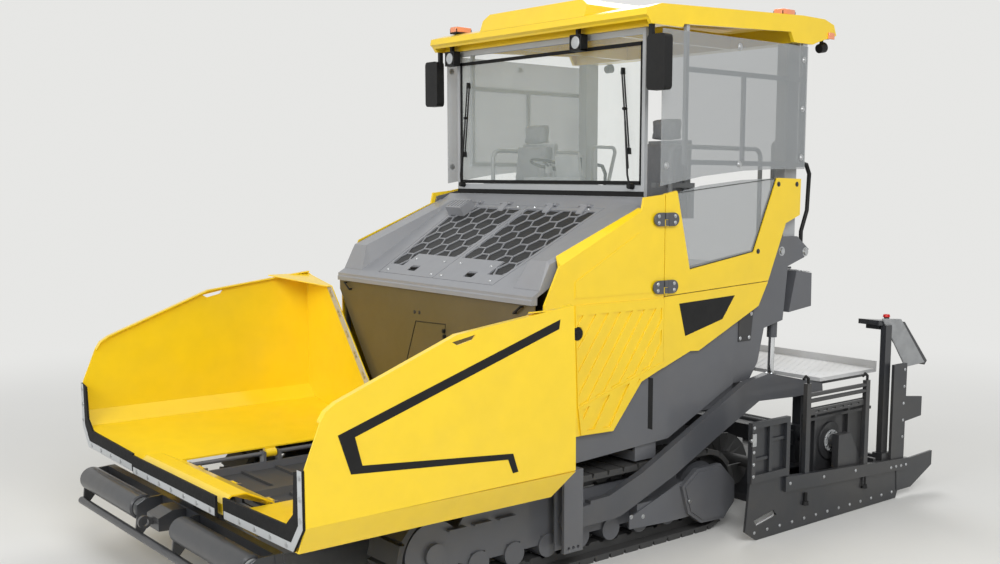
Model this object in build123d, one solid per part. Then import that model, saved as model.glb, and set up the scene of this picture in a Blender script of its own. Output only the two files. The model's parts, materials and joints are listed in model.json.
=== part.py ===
"""Tracked asphalt paver with an open hopper, a glazed canopy and an extending screed.

Frame: +X towards the hopper, +Y to the machine's left, +Z up, origin on the ground
under the middle of the machine.  All sizes are in millimetres.
"""
from build123d import *
import math
import os

# ---------------------------------------------------------------- gaps and sheets
sheet = 10.0                  # common sheet and plate thickness
fit_gap = 0.3                 # gap between seated pieces
move_gap = 6.0                # gap left round a moving piece
pin_clearance = 0.1           # radial clearance of a pivot pin

# ---------------------------------------------------------------- side walls
body_half = 1250.0            # half width over the yellow side panels
panel_thickness = 24.0
side_frame_thickness = 20.0
wall_outer = body_half - panel_thickness - fit_gap
wall_inner = wall_outer - side_frame_thickness
cross_half = wall_inner - fit_gap     # half width of what fits between the side walls

# ---------------------------------------------------------------- main frame
frame_half = 670.0            # half width over the longitudinal side plates
frame_plate = 30.0
frame_bottom_z = 340.0
frame_rear_x = -1000.0
frame_front_x = 2560.0
nose_z = 470.0                # top of the side plates at the nose
deck_z = 900.0                # top of the conveyor tunnel
deck_plate = 15.0
hopper_rail_z = 560.0         # top of the side plates under the hopper
bulkhead_x = 945.0            # front face of the hopper bulkhead
bulkhead_top_z = 1760.0
conveyor_z = 500.0            # underside of the conveyor floor
conveyor_front_x = 2360.0
conveyor_plate = 12.0
slat_pitch = 250.0
slat_size = 20.0
outrigger_z = 630.0           # underside of the outriggers over the tracks
outrigger_height = 70.0
outrigger_upstand = 100.0

# ---------------------------------------------------------------- tracks
track_inner_gap = 230.0       # from the frame's side plate to the track
track_width = 320.0
track_y = frame_half + track_inner_gap + track_width / 2
track_radius = 305.0          # outer radius round sprocket and idler, over the pads
sprocket_x = -650.0
idler_x = 1680.0
shoe_count = 46
pad_height = 30.0
pad_gap = 16.0
shoe_plate = 12.0
chain_height = 60.0
chain_width = 130.0
link_notch = 16.0
bottom_roller_radius = 78.0
bottom_roller_count = 7
wheel_rim = 20.0              # how far wheels stand out of the frame
track_frame_width = 150.0
track_frame_half_height = 95.0
cover_plate = 15.0
cover_low_z = 190.0
cover_high_z = 500.0
notch_height = 60.0
drive_cover_y = 1262.0        # outer face of the drive's cover

# ---------------------------------------------------------------- hopper wings
hopper_half = 1635.0          # half width over the open hopper wings
wing_pivot_y = frame_half + 10.0
wing_pivot_z = 615.0
wing_rear_x = 972.0
wing_front_x = 2766.0
wing_top_rear_z = 1805.0
wing_top_bend_x = 1835.0
wing_top_bend_z = 1699.0
wing_nose_x = 2671.0
wing_nose_z = 1367.0
wing_low_z = 792.0
wing_kick = 95.0              # width of the sloped strip between floor and side
wing_floor_inner_z = 662.0
wing_hem_z = 640.0
wing_hem_in = 84.0
wing_hem_cut = 124.0          # length of the chamfer at the hem's rear end
wing_lip = 40.0
wing_fold = 56.0              # degrees
wing_pin_radius = 15.0
wing_lug_radius = 30.0
wing_lug_length = 80.0
wing_lug_gap = 8.0
wing_lug_plate = 20.0
wing_lug_x = (1180.0, 1820.0, 2460.0)
flap_thickness = 14.0
flap_low_z = 632.0
flap_high_z = 752.0

# ---------------------------------------------------------------- front apron
apron_half = wing_pivot_y - 48.0
apron_lug_y = (-500.0, 0.0, 500.0)
apron_lug_half = 35.0
apron_pivot_x = 2400.0
apron_pivot_z = 615.0
apron_pin_radius = 12.0
apron_crest_x = 2610.0
apron_crest_z = 742.0
apron_front_x = wing_front_x - move_gap
apron_flap_x = wing_front_x + fit_gap + flap_thickness + move_gap

# ---------------------------------------------------------------- push rollers
roller_x = 2866.0
roller_z = 494.0
roller_radius = 80.0
roller_inner_y = 300.0
roller_outer_y = 1230.0
roller_stub_radius = 20.0
beam_pin_x = 2640.0
beam_pin_radius = 40.0
beam_half = 1255.0
beam_plate = 16.0
bumper_radius = 25.0
bumper_z = 345.0
tow_ring_x = 2972.0
tow_ring_z = 490.0
tow_ring_radius = 39.0
tow_ring_bore = 24.0
tow_ring_width = 26.0

# ---------------------------------------------------------------- hood and engine
hood_front_x = 958.0
hood_front_z = 1815.0
hood_rear_x = 0.0
hood_rear_z = 2365.0
hood_skin = 30.0
hood_half = wall_inner - 8.0
hood_hinge_x = 33.0
hood_hinge_rise = 15.0        # hinge axis over the hood's skin
hood_knuckle_radius = 12.0
hood_pin_radius = 6.0
hood_hinge_y = (270.0, 640.0)
hood_hinge_half = 32.0        # half length of a door's knuckle
hood_door_front_half = 700.0
hood_door_rear_half = 840.0
hood_front_band = 60.0        # fixed strip in front of the doors
ridge_front_x = 820.0
ridge_front_z = 2032.0
ridge_end_x = 900.0
ridge_inner_front = 930.0
ridge_inner_rear = 1000.0
cell_radius = 88.0            # corner radius of a honeycomb cell's pitch
cell_rib = 10.0
cell_depth = 9.0
engine_size = (1000.0, 640.0, 620.0)
engine_centre = (380.0, 0.0, 1260.0)

# ---------------------------------------------------------------- side bodywork
door_hinge_x = -154.0
door_hinge_radius = 14.0
door_pin_radius = 7.0
door_hinge_y = body_half + door_hinge_radius + 1.0
door_hinge_heights = (1822.0, 2280.0)
door_front_x = 900.0
door_crease_drop = 72.0       # bevelled strip along the door's top edge
door_ledge_z = 1745.0
door_boss = 8.0               # how far the ribbed field stands out
rib_pitch = 110.0
rib_width = 46.0
window_gap = 65.0             # open gap between the upper and lower side panes

# ---------------------------------------------------------------- platform and canopy
platform_z = 1880.0
platform_plate = 16.0
platform_rear_x = -1750.0
platform_step_x = -930.0      # where the rear columns begin
rear_wall_x = -120.0
body_sheet = 12.0
windshield_x = -120.0
windshield_bottom_z = 2475.0
windshield_top_z = 3520.0
windshield_half = 1090.0
windshield_bar = 30.0
glass = 8.0
side_glass_y = 1247.0
rear_glass_x = -1650.0
roof_front_x = 50.0
roof_rear_x = -1985.0
roof_low_z = 3560.0
roof_skin = 30.0
crown_half = 606.0
crown_rise = 44.0
post_front_x = -1500.0
post_rear_x = -1638.0

# ---------------------------------------------------------------- seats
seat_y = 750.0                # middle of a seat
seat_front_x = -260.0
seat_back_x = -700.0
seat_pan_z = 2270.0
cushion = 90.0

# ---------------------------------------------------------------- rear column and lift
column_inner_y = 1070.0
column_outer_y = 1200.0
column_top_z = 2125.0
column_plate = 20.0
lift_pin_x = -1466.0
lift_pin_z = 2016.0
lift_y = (column_inner_y + column_outer_y) / 2
lift_eye_x = -1450.0
lift_eye_z = 1035.0
lift_barrel_radius = 39.0
lift_rod_radius = 25.0
lift_pin_radius = 22.0
lift_barrel_length = 660.0
lift_eye_clearance = 10.5     # room for the drift of the opened linkage
lift_eye_width = 60.0

# ---------------------------------------------------------------- augers
auger_x = -1240.0
auger_z = 400.0
auger_beam_z = 640.0          # underside of the beam that carries the augers
auger_radius = 190.0
auger_shaft_radius = 45.0
auger_stub_radius = 28.0
auger_inner_y = 110.0
auger_half = 1150.0
auger_pitch = 300.0
auger_blade = 14.0
auger_turns = 3
auger_facets = 14             # flats in one turn of a blade

# ---------------------------------------------------------------- screed
tow_x = 705.0
tow_z = 361.0
tow_pin_radius = 35.0
tow_bracket_rear_x = 640.0
tow_bracket_front_x = 800.0
tow_plate_inner_y = 1226.0
tow_plate_outer_y = 1330.0
tow_plate = 12.0
arm_inner_y = 1245.0
arm_outer_y = 1300.0
screed_lift = 7.0             # degrees
screed_half = 1250.0          # half width of the basic screed
screed_front_x = -1480.0
screed_rear_x = -1900.0
screed_box_z = 330.0
screed_wall = 12.0
extension_rear_x = -2450.0
extension_wall = 14.0
extension_in = 260.0          # travel inwards from rest
extension_out = 900.0         # travel outwards from rest
tube_x = -1800.0              # telescopic guide tube
tube_z = 553.0
tube_radius = 55.0
tube_end_y = 1450.0
tube_flange_radius = 95.0
walkway_front_x = -1930.0
walkway_rear_x = -2690.0
walkway_z = 1000.0
walkway_plate = 30.0
end_gate_y = 1600.0           # middle of an end gate at rest
end_gate_thickness = 20.0
gate_post = 50.0
gate_tube_radius = 16.0
console_post_x = -2370.0


# ================================================================ helpers
def block(x0, x1, y0, y1, z0, z1):
    """A box between two corners."""
    return Pos((x0 + x1) / 2, (y0 + y1) / 2, (z0 + z1) / 2) * Box(abs(x1 - x0), abs(y1 - y0), abs(z1 - z0))


def side_plate(points, y0, y1):
    """A plate with an outline of (x, z) points between two widths."""
    plane = Plane(origin=(0, max(y0, y1), 0), x_dir=(1, 0, 0), z_dir=(0, -1, 0))
    return extrude(plane * Polygon(*points, align=None), abs(y1 - y0), dir=(0, -1, 0))


def cross_plate(points, x0, x1):
    """A plate with an outline of (y, z) points between two stations along X."""
    plane = Plane(origin=(min(x0, x1), 0, 0), x_dir=(0, 1, 0), z_dir=(1, 0, 0))
    return extrude(plane * Polygon(*points, align=None), abs(x1 - x0), dir=(1, 0, 0))


def flat_plate(points, z0, z1):
    """A plate with an outline of (x, y) points between two heights."""
    return extrude(Plane.XY.offset(min(z0, z1)) * Polygon(*points, align=None), abs(z1 - z0), dir=(0, 0, 1))


def rod(start, end, radius):
    """A round bar between two points."""
    line = Vector(*end) - Vector(*start)
    plane = Plane(origin=start, z_dir=line)
    return plane * Cylinder(radius, line.length, align=(Align.CENTER, Align.CENTER, Align.MIN))


def cross_rod(x, y0, y1, z, radius):
    """A round bar along Y."""
    return rod((x, min(y0, y1), z), (x, max(y0, y1), z), radius)


def rail(points, radius, bend):
    """A bent tube through points, with round corners of one radius."""
    path = FilletPolyline(*points, radius=bend)
    section = Plane(origin=path @ 0, z_dir=path % 0) * Circle(radius)
    return sweep(section, path=path)


def section_loft(sections):
    """A straight-sided loft through outlines of (y, z) points, each at its station along X."""
    faces = []
    for x, points in sections:
        plane = Plane(origin=(x, 0, 0), x_dir=(0, 1, 0), z_dir=(1, 0, 0))
        faces.append(plane * Polygon(*points, align=None))
    return loft(faces, ruled=True)


def mirrored(shape):
    """The same piece on the machine's right."""
    return mirror(shape, about=Plane.XZ)


def both_sides(shape):
    """A piece and its mirror image as one compound of separate solids."""
    return Compound(children=list(shape.solids()) + list(mirrored(shape).solids()))


def group(*shapes):
    """Separate solids that share a node."""
    solids = []
    for shape in shapes:
        solids.extend(shape.solids())
    return Compound(children=solids)


# ================================================================ tracks
def track_point(distance, radius):
    """A point of the track's loop and its outward normal, at a distance from the lower front."""
    straight = idler_x - sprocket_x
    arc = math.pi * radius
    distance = distance % (2 * straight + 2 * arc)
    if distance < straight:
        return (idler_x - distance, track_radius - radius), (0.0, -1.0)
    distance -= straight
    if distance < arc:
        angle = -math.pi / 2 - distance / radius
        normal = (math.cos(angle), math.sin(angle))
        return (sprocket_x + radius * normal[0], track_radius + radius * normal[1]), normal
    distance -= arc
    if distance < straight:
        return (sprocket_x + distance, track_radius + radius), (0.0, 1.0)
    distance -= straight
    angle = math.pi / 2 - distance / radius
    normal = (math.cos(angle), math.sin(angle))
    return (idler_x + radius * normal[0], track_radius + radius * normal[1]), normal


def toothed_loop(radius, teeth):
    """The loop's outline at a radius, with (place along the pitch, rise) steps repeated at every shoe."""
    pitch = (2 * (idler_x - sprocket_x) + 2 * math.pi * radius) / shoe_count
    outline = []
    for shoe in range(shoe_count):
        for place, rise in teeth(pitch):
            point, normal = track_point(shoe * pitch + place, radius)
            outline.append((point[0] + rise * normal[0], point[1] + rise * normal[1]))
    return outline


def loop_band(radius, y0, y1):
    """A filled loop shape of one radius about sprocket and idler."""
    ends = cross_rod(sprocket_x, y0, y1, track_radius, radius) + cross_rod(idler_x, y0, y1, track_radius,
                                                                           radius)
    return ends + block(sprocket_x, idler_x, y0, y1, track_radius - radius, track_radius + radius)


def track_left():
    """Track loop: shoes with pads in the outline, and the notched chain inside."""
    inner_y = track_y - track_width / 2
    outer_y = track_y + track_width / 2
    base = track_radius - pad_height
    shoes = side_plate(toothed_loop(base, lambda pitch: ((0, 0), (pad_gap / 2, pad_height),
                                                         (pitch - pad_gap, pad_height),
                                                         (pitch - pad_gap / 2, 0))), inner_y, outer_y)
    chain_outer = base - shoe_plate
    chain_inner = chain_outer - chain_height
    shoes -= loop_band(chain_outer, inner_y - 1, outer_y + 1)
    chain = loop_band(chain_outer, track_y - chain_width / 2, track_y + chain_width / 2)
    chain -= loop_band(chain_inner, inner_y, outer_y)
    chain -= side_plate(toothed_loop(chain_inner, lambda pitch: ((0, 0), (0.6 * pitch, 0),
                                                                 (0.7 * pitch, link_notch),
                                                                 (0.9 * pitch, link_notch))), inner_y,
                                                                 outer_y)
    return shoes + chain


def track_frame_left():
    """Roller frame with sprocket, idler, rollers, its notched cover and the drive's cover."""
    wheel_radius = track_radius - pad_height - shoe_plate - chain_height - fit_gap
    inner = track_y - track_frame_width / 2
    outer = track_y + track_frame_width / 2
    low = track_radius - track_frame_half_height + 30
    high = track_radius + track_frame_half_height + 30
    beam = side_plate([(sprocket_x + 120, low), (idler_x - 40, low), (idler_x + 60, track_radius - 40),
                       (idler_x + 60, track_radius + 40), (idler_x - 150, high), (sprocket_x + 250, high),
                       (sprocket_x + 120, track_radius + 60)], inner, outer)
    wheels = cross_rod(sprocket_x, inner - wheel_rim, outer, track_radius, wheel_radius)
    wheels += cross_rod(idler_x, inner - wheel_rim, outer + wheel_rim, track_radius, wheel_radius)
    wheels += cross_rod(idler_x, outer, outer + wheel_rim + 30, track_radius, 70)
    roller_z_low = track_radius - wheel_radius + bottom_roller_radius
    first = sprocket_x + 330.0
    step = (idler_x - 330.0 - first) / (bottom_roller_count - 1)
    cover = side_plate([(first - 90, cover_low_z), (idler_x - 230, cover_low_z),
                        (idler_x - 120, track_radius - 60),
                        (idler_x - 120, track_radius + 60), (idler_x - 230, cover_high_z),
                        (first - 90, cover_high_z)],
                       outer, outer + cover_plate)
    for index in range(bottom_roller_count):
        x = first + index * step
        wheels += cross_rod(x, inner, outer + wheel_rim + 10, roller_z_low, bottom_roller_radius)
        cover -= block(x - 55, x + 55, outer - 1, outer + cover_plate + 1, cover_low_z - 1,
                       cover_low_z + notch_height)
    for index in range(3):
        x = idler_x - 220 - index * 190
        cover += block(x, x + 130, outer + cover_plate, outer + cover_plate + 45, 432, 444)
    guard_y = track_y + track_width / 2 + 4
    carrier = block(sprocket_x + 300, sprocket_x + 700, outer + cover_plate, guard_y, 240, 330)
    link = side_plate([(sprocket_x + 120, 420), (sprocket_x + 280, 420), (sprocket_x + 780, 250),
                       (sprocket_x + 780, 170),
                       (sprocket_x + 400, 150), (sprocket_x + 120, 150)], guard_y, guard_y + sheet)
    outline = Polygon((294, 86), (137, 190), (-108, 191), (-266, 36), (-268, -116), (-153, -227), (89, -217),
                      (226, -124), align=None)
    side = Plane(origin=(sprocket_x, guard_y, track_radius), x_dir=(1, 0, 0), z_dir=(0, -1, 0))
    drive = extrude(side * outline, drive_cover_y - guard_y, dir=(0, 1, 0))
    drive += extrude(side * offset(outline, -24), drive_cover_y - guard_y + sheet, dir=(0, 1, 0))
    hub = cross_rod(sprocket_x, outer, guard_y + 5, track_radius, 150)
    hangers = block(-250, -50, frame_half, inner, 300, 420) + block(1150, 1350, frame_half, inner, 300, 420)
    return beam + wheels + cover + carrier + link + drive + hub + hangers


# ================================================================ main frame
def apron_brackets():
    """Hinge pins of the apron on a cross rail of the main frame."""
    rail_y = frame_half - frame_plate
    half = 22.0
    pieces = block(apron_pivot_x - half, apron_pivot_x + half, -rail_y, rail_y, conveyor_z - 60,
                   conveyor_z + conveyor_plate + 2)
    for y in apron_lug_y:
        reach = apron_lug_half + wing_lug_gap
        pieces += cross_rod(apron_pivot_x, y - reach - beam_plate, y + reach + beam_plate, apron_pivot_z,
                            apron_pin_radius)
        for side in (-1, 1):
            pieces += block(apron_pivot_x - half, apron_pivot_x + half, y + side * reach,
                            y + side * (reach + beam_plate), conveyor_z + conveyor_plate + 2,
                            apron_pivot_z + half)
    return pieces


def wing_hinges(side):
    """Hinge pin of one wing with its lugs on the side plate."""
    pin_y = side * wing_pivot_y
    reach = wing_lug_length / 2 + wing_lug_gap + wing_lug_plate
    hinge = rod((wing_lug_x[0] - reach, pin_y, wing_pivot_z), (wing_lug_x[-1] + reach, pin_y, wing_pivot_z),
                wing_pin_radius)
    for x in wing_lug_x:
        for offset_sign in (-1, 1):
            near = x + offset_sign * (wing_lug_length / 2 + wing_lug_gap)
            hinge += block(near, near + offset_sign * wing_lug_plate, side * (frame_half - frame_plate),
                           side * (wing_pivot_y + 22), hopper_rail_z - 40, wing_pivot_z + 18)
    return hinge


def tow_bracket(side):
    """Guide plates and pin that hold a tow arm's front eye."""
    x0, x1 = tow_bracket_rear_x, tow_bracket_front_x
    top = outrigger_z + outrigger_height
    bracket = block(x0, x1, side * cross_half, side * tow_plate_outer_y, outrigger_z, top)
    bracket += block(x0, x1, side * tow_plate_inner_y, side * (tow_plate_inner_y + tow_plate), 160, top)
    outer_plate = block(x0, x1, side * (tow_plate_outer_y - 22), side * tow_plate_outer_y, 160, top)
    for index in range(3):
        x = x0 + 40 + index * 40
        outer_plate -= cross_rod(x, side * (tow_plate_outer_y - 30), side * (tow_plate_outer_y + 5), 190, 11)
    return bracket + outer_plate + cross_rod(tow_x, side * tow_plate_inner_y, side * tow_plate_outer_y, tow_z,
                                             tow_pin_radius)


def main_frame():
    """Longitudinal plates, tunnel, outriggers, hinge lugs and pins, and the nose with the beam's pin."""
    inside = frame_half - frame_plate
    plate = side_plate([(frame_rear_x, frame_bottom_z), (frame_front_x, frame_bottom_z),
                        (frame_front_x, nose_z),
                        (frame_front_x - 120, hopper_rail_z), (bulkhead_x, hopper_rail_z),
                        (bulkhead_x, deck_z),
                        (frame_rear_x, deck_z)], inside, frame_half)
    frame = plate + mirrored(plate)
    frame += block(frame_rear_x, frame_front_x, -inside, inside, frame_bottom_z, frame_bottom_z + deck_plate)
    frame += block(frame_rear_x, bulkhead_x, -inside, inside, deck_z - deck_plate, deck_z)
    frame += block(frame_front_x - 40, frame_front_x, -inside, inside, frame_bottom_z, nose_z)
    # nose that holds the pin of the push-roller beam
    nose_low, nose_high, nose_half, nose_plate = 360.0, 610.0, 140.0, 20.0
    for z in (nose_low, nose_high - nose_plate):
        frame += block(frame_front_x, beam_pin_x + 90, -nose_half, nose_half, z, z + nose_plate)
    frame += block(frame_front_x - 40, frame_front_x, -nose_half, nose_half, nose_low, nose_high)
    frame += rod((beam_pin_x, 0, nose_low), (beam_pin_x, 0, nose_high), beam_pin_radius)
    for side in (1, -1):
        frame += wing_hinges(side)
        for x0, x1 in ((-140, 60), (tow_bracket_rear_x, tow_bracket_front_x)):
            frame += block(x0, x1, side * frame_half, side * cross_half, outrigger_z,
                           outrigger_z + outrigger_height)
            frame += block(x0, x1, side * (cross_half - 20), side * cross_half,
                           outrigger_z + outrigger_height,
                           outrigger_z + outrigger_height + outrigger_upstand)
        frame += tow_bracket(side)
        # hanger plates of the auger beam
        frame += block(frame_rear_x - 60, frame_rear_x, side * 60, side * frame_half, 700, deck_z)
    frame += block(auger_x - 80, frame_rear_x + 20, -60, 60, auger_beam_z, auger_beam_z + 80)
    frame += block(frame_rear_x - 60, frame_rear_x, -60, 60, auger_beam_z, deck_z)
    return frame + apron_brackets()


def conveyor():
    """Floor, centre cover and slat bars that carry the mix to the rear."""
    half = frame_half - frame_plate - fit_gap
    top = conveyor_z + conveyor_plate
    floor = block(frame_rear_x, conveyor_front_x, -half, half, conveyor_z, top)
    floor += cross_plate([(-60, top), (60, top), (30, top + 48), (-30, top + 48)], frame_rear_x,
                         conveyor_front_x)
    rows = int((conveyor_front_x - frame_rear_x - 100) // slat_pitch)
    for row in range(rows + 1):
        x = conveyor_front_x - 60 - row * slat_pitch
        for side in (1, -1):
            floor += block(x - 15, x + 15, side * 80, side * (half - 20), top, top + slat_size)
    for x in (frame_rear_x + 60, 0.0, 1200.0, conveyor_front_x - 60):
        floor += block(x - 20, x + 20, -half, half, frame_bottom_z + deck_plate + fit_gap, conveyor_z)
    return floor


def hopper_bulkhead():
    """Sloping-sided wall behind the hopper with its hatch outline."""
    wide, narrow = hood_half, frame_half - frame_plate
    wall = cross_plate([(-wide, bulkhead_top_z), (wide, bulkhead_top_z), (wide, bulkhead_top_z - 70),
                        (narrow, deck_z),
                        (-narrow, deck_z), (-wide, bulkhead_top_z - 70)], bulkhead_x - body_sheet, bulkhead_x)
    hatch = make_face(Polyline((-137, 1537), (234, 1549), (210, 1235), (-269, 1220), close=True).edges())
    groove = extrude(Plane(origin=(bulkhead_x - 3, 0, 0), x_dir=(0, 1, 0), z_dir=(1, 0, 0))
                     * (hatch - offset(hatch, -7)), 5, dir=(1, 0, 0))
    return wall - groove


def engine():
    """Engine and pump drive as one plain block on its feet."""
    x, y, z = engine_centre
    length, width, height = engine_size
    body = block(x - length / 2, x + length / 2, y - width / 2, y + width / 2, z - height / 2, z + height / 2)
    for sx in (-1, 1):
        for sy in (-1, 1):
            body += block(x + sx * 300 - 50, x + sx * 300 + 50, sy * 330 - 50, sy * 330 + 50,
                          deck_z + fit_gap, z - height / 2)
    return body


# ================================================================ hopper wings
def wing_left():
    """One hopper wing: floor, sloped strip, side, rear wall, top lip, hem and hinge lugs."""
    outer, inner = hopper_half, hopper_half - sheet
    top = [(wing_rear_x + 22, wing_top_rear_z), (wing_top_bend_x, wing_top_bend_z),
           (wing_nose_x - 90, wing_nose_z + 46),
           (wing_nose_x - 30, wing_nose_z + 8), (wing_nose_x, wing_nose_z - 38)]
    wing = side_plate(top + [(wing_front_x, 1098), (wing_front_x, wing_low_z), (wing_rear_x, wing_low_z + 10),
                             (wing_rear_x, 1235)], inner, outer)
    wing += side_plate(top + [(x, z - sheet) for x, z in reversed(top)], outer - wing_lip, outer)
    hand_slot = side_plate([(1870, 1660), (1835, 1640), (1730, 1664), (1710, 1690)], inner - 5, outer + 5)
    kick_y = inner - wing_kick
    floor = cross_plate([(wing_pivot_y, wing_floor_inner_z), (kick_y, wing_low_z + 2),
                         (inner, wing_low_z + wing_kick + 2),
                         (inner, wing_low_z), (kick_y + 8, wing_low_z - sheet),
                         (wing_pivot_y, wing_floor_inner_z - sheet)], wing_rear_x, wing_front_x)
    hem = cross_plate([(outer, wing_low_z + 2), (inner, wing_low_z + 2), (outer - wing_hem_in - 8,
                                                                          wing_hem_z + 8),
                       (outer - 160, wing_hem_z + 8), (outer - 160, wing_hem_z),
                       (outer - wing_hem_in, wing_hem_z)],
                      wing_rear_x, wing_front_x)
    hem -= side_plate([(wing_rear_x - 1, wing_low_z + 3), (wing_rear_x + wing_hem_cut, wing_hem_z - 1),
                       (wing_rear_x - 1, wing_hem_z - 1)], outer - 200, outer + 1)
    rear = cross_plate([(outer - 2, 1800), (outer - 75, 1775), (1236, 1712), (wing_pivot_y + 7, 1019),
                        (wing_pivot_y + 7, wing_floor_inner_z - 6), (kick_y + 4, wing_low_z - 4),
                        (outer - 2, wing_low_z + 10)],
                       wing_rear_x + 20, wing_rear_x + 30)
    gusset = cross_plate([(inner + 2, 1787), (1236, 1712), (1236, 1704), (inner + 2, 1779)], wing_rear_x + 22,
                         wing_rear_x + 360)
    gusset &= flat_plate([(wing_rear_x + 22, 1236), (wing_rear_x + 60, 1236), (wing_rear_x + 360, inner + 2),
                          (wing_rear_x + 22, inner + 2)], 1600, 1900)
    wing += floor + hem + rear + gusset
    for x in (wing_rear_x + 420, wing_rear_x + 1250):
        wing += cross_plate([(wing_pivot_y + 60, wing_floor_inner_z), (kick_y, wing_low_z - 6),
                             (outer - 160, wing_hem_z + 4),
                             (wing_pivot_y + 60, wing_hem_z)], x, x + body_sheet)
    for x in wing_lug_x:
        half = wing_lug_length / 2
        lug = rod((x - half, wing_pivot_y, wing_pivot_z), (x + half, wing_pivot_y, wing_pivot_z),
                  wing_lug_radius)
        lug += block(x - half, x + half, wing_pivot_y, wing_pivot_y + wing_lug_radius, wing_pivot_z,
                     wing_floor_inner_z)
        wing += lug
    for x in wing_lug_x:
        wing -= rod((x - wing_lug_length, wing_pivot_y, wing_pivot_z), (x + wing_lug_length, wing_pivot_y,
                                                                        wing_pivot_z),
                    wing_pin_radius + pin_clearance)
    return wing - hand_slot


def wing_flap_left():
    """Rubber flap round the open front of a wing."""
    outer = hopper_half - 5
    outline = [(outer, 1090), (outer, wing_low_z - 8), (outer - 110, flap_low_z + 14),
               (wing_pivot_y + 4, flap_low_z),
               (wing_pivot_y + 4, flap_high_z), (1440, 772), (outer - 105, 845), (outer - 90, 1070)]
    return cross_plate(outline, wing_front_x + fit_gap, wing_front_x + fit_gap + flap_thickness)


def front_apron():
    """Hinged apron between the wings, with its ramp, front plate and the strip that carries its flap."""
    knuckle = 24.0
    slope = (apron_crest_z - apron_pivot_z - knuckle + 2) / (apron_crest_x - apron_pivot_x)
    start_x = apron_pivot_x + 40
    start_z = apron_pivot_z + knuckle - 2 + slope * 40
    apron = side_plate([(start_x, start_z), (apron_crest_x, apron_crest_z), (apron_front_x - 54,
                                                                             apron_crest_z),
                        (apron_front_x, 700), (apron_front_x, flap_low_z + 4),
                        (apron_front_x - sheet, flap_low_z + 4),
                        (apron_front_x - sheet, 695), (apron_front_x - 58, apron_crest_z - sheet),
                        (apron_crest_x + 4, apron_crest_z - sheet), (start_x, start_z - 12)], -apron_half,
                        apron_half)
    apron += block(apron_front_x - 2, apron_flap_x - fit_gap, 100 - apron_half, apron_half - 100,
                   flap_low_z + 8,
                   flap_low_z + 58)
    for y in apron_lug_y:
        apron += cross_rod(apron_pivot_x, y - apron_lug_half, y + apron_lug_half, apron_pivot_z, knuckle)
        apron += side_plate([(apron_pivot_x - 10, apron_pivot_z - 18), (apron_pivot_x, apron_pivot_z + 22),
                             (start_x, start_z - 2), (apron_crest_x + 40, apron_crest_z - 2),
                             (apron_crest_x + 40, apron_crest_z - 40)], y - sheet, y + sheet)
        apron -= cross_rod(apron_pivot_x, y - 60, y + 60, apron_pivot_z, apron_pin_radius + pin_clearance)
    return apron


def apron_flap():
    """Rubber flap of the apron, in front of the wings' flaps."""
    return block(apron_flap_x, apron_flap_x + flap_thickness, -apron_half, apron_half, flap_low_z,
                 flap_high_z)


# ================================================================ push rollers
def push_beam():
    """Oscillating beam with roller brackets, bumper bar and tow ring."""
    low, high = 386.0, 584.0
    beam = block(beam_pin_x - 58, beam_pin_x + 70, -105, 105, low, high)
    beam += block(beam_pin_x + 60, beam_pin_x + 110, -beam_half, beam_half, 420, 560)
    for side in (1, -1):
        for y, inward, outward in ((roller_inner_y - 22, -10, 46), (roller_outer_y + 6, 30, 10)):
            beam += side_plate([(beam_pin_x + 100, 420), (beam_pin_x + 100, 560), (roller_x - 20, 555),
                                (roller_x + 45, 520), (roller_x + 45, 460), (roller_x + 60, 330),
                                (roller_x + 30, 315),
                                (roller_x - 40, 400)], side * y, side * (y + beam_plate))
            beam += cross_rod(roller_x, side * (y - inward), side * (y + outward), roller_z,
                              roller_stub_radius)
    beam += cross_rod(roller_x + 62, -beam_half, beam_half, bumper_z, bumper_radius)
    beam += side_plate([(beam_pin_x + 100, 430), (beam_pin_x + 100, 555), (roller_x - 30, 555),
                        (roller_x + 55, 520),
                        (roller_x + 55, 440)], -90, 90)
    ring = cross_rod(tow_ring_x, -tow_ring_width / 2, tow_ring_width / 2, tow_ring_z, tow_ring_radius)
    beam += ring + block(roller_x + 50, tow_ring_x - tow_ring_bore - 4, -13, 13, tow_ring_z - 20,
                         tow_ring_z + 20)
    beam -= cross_rod(tow_ring_x, -30, 30, tow_ring_z, tow_ring_bore)
    beam -= rod((beam_pin_x, 0, low - 5), (beam_pin_x, 0, high + 5), beam_pin_radius + pin_clearance)
    return beam


def push_roller_left():
    """Free-turning roller with chamfered, bored ends."""
    body = cross_rod(roller_x, roller_inner_y, roller_outer_y, roller_z, roller_radius)
    body = chamfer(body.edges().filter_by(GeomType.CIRCLE), 10)
    for y0, y1 in ((roller_inner_y - 1, roller_inner_y + 60), (roller_outer_y - 60, roller_outer_y + 1)):
        body -= cross_rod(roller_x, y0, y1, roller_z, roller_stub_radius + pin_clearance)
    return body


# ================================================================ hood
def hood_z(x):
    """Height of the hood's skin at a station."""
    return hood_front_z + (hood_front_x - x) / (hood_front_x - hood_rear_x) * (hood_rear_z - hood_front_z)


def hood_plane():
    """Plane of the hood's skin: its X runs down the slope, its Y to the left."""
    run, rise = hood_front_x - hood_rear_x, hood_rear_z - hood_front_z
    length = math.hypot(run, rise)
    return Plane(origin=(hood_rear_x, 0, hood_rear_z), x_dir=(run / length, 0, -rise / length),
                 z_dir=(rise / length, 0, run / length))


def down_slope(x):
    """Distance along the hood's slope from its rear edge to a station."""
    return (x - hood_rear_x) * math.hypot(1, (hood_rear_z - hood_front_z) / (hood_front_x - hood_rear_x))


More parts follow.
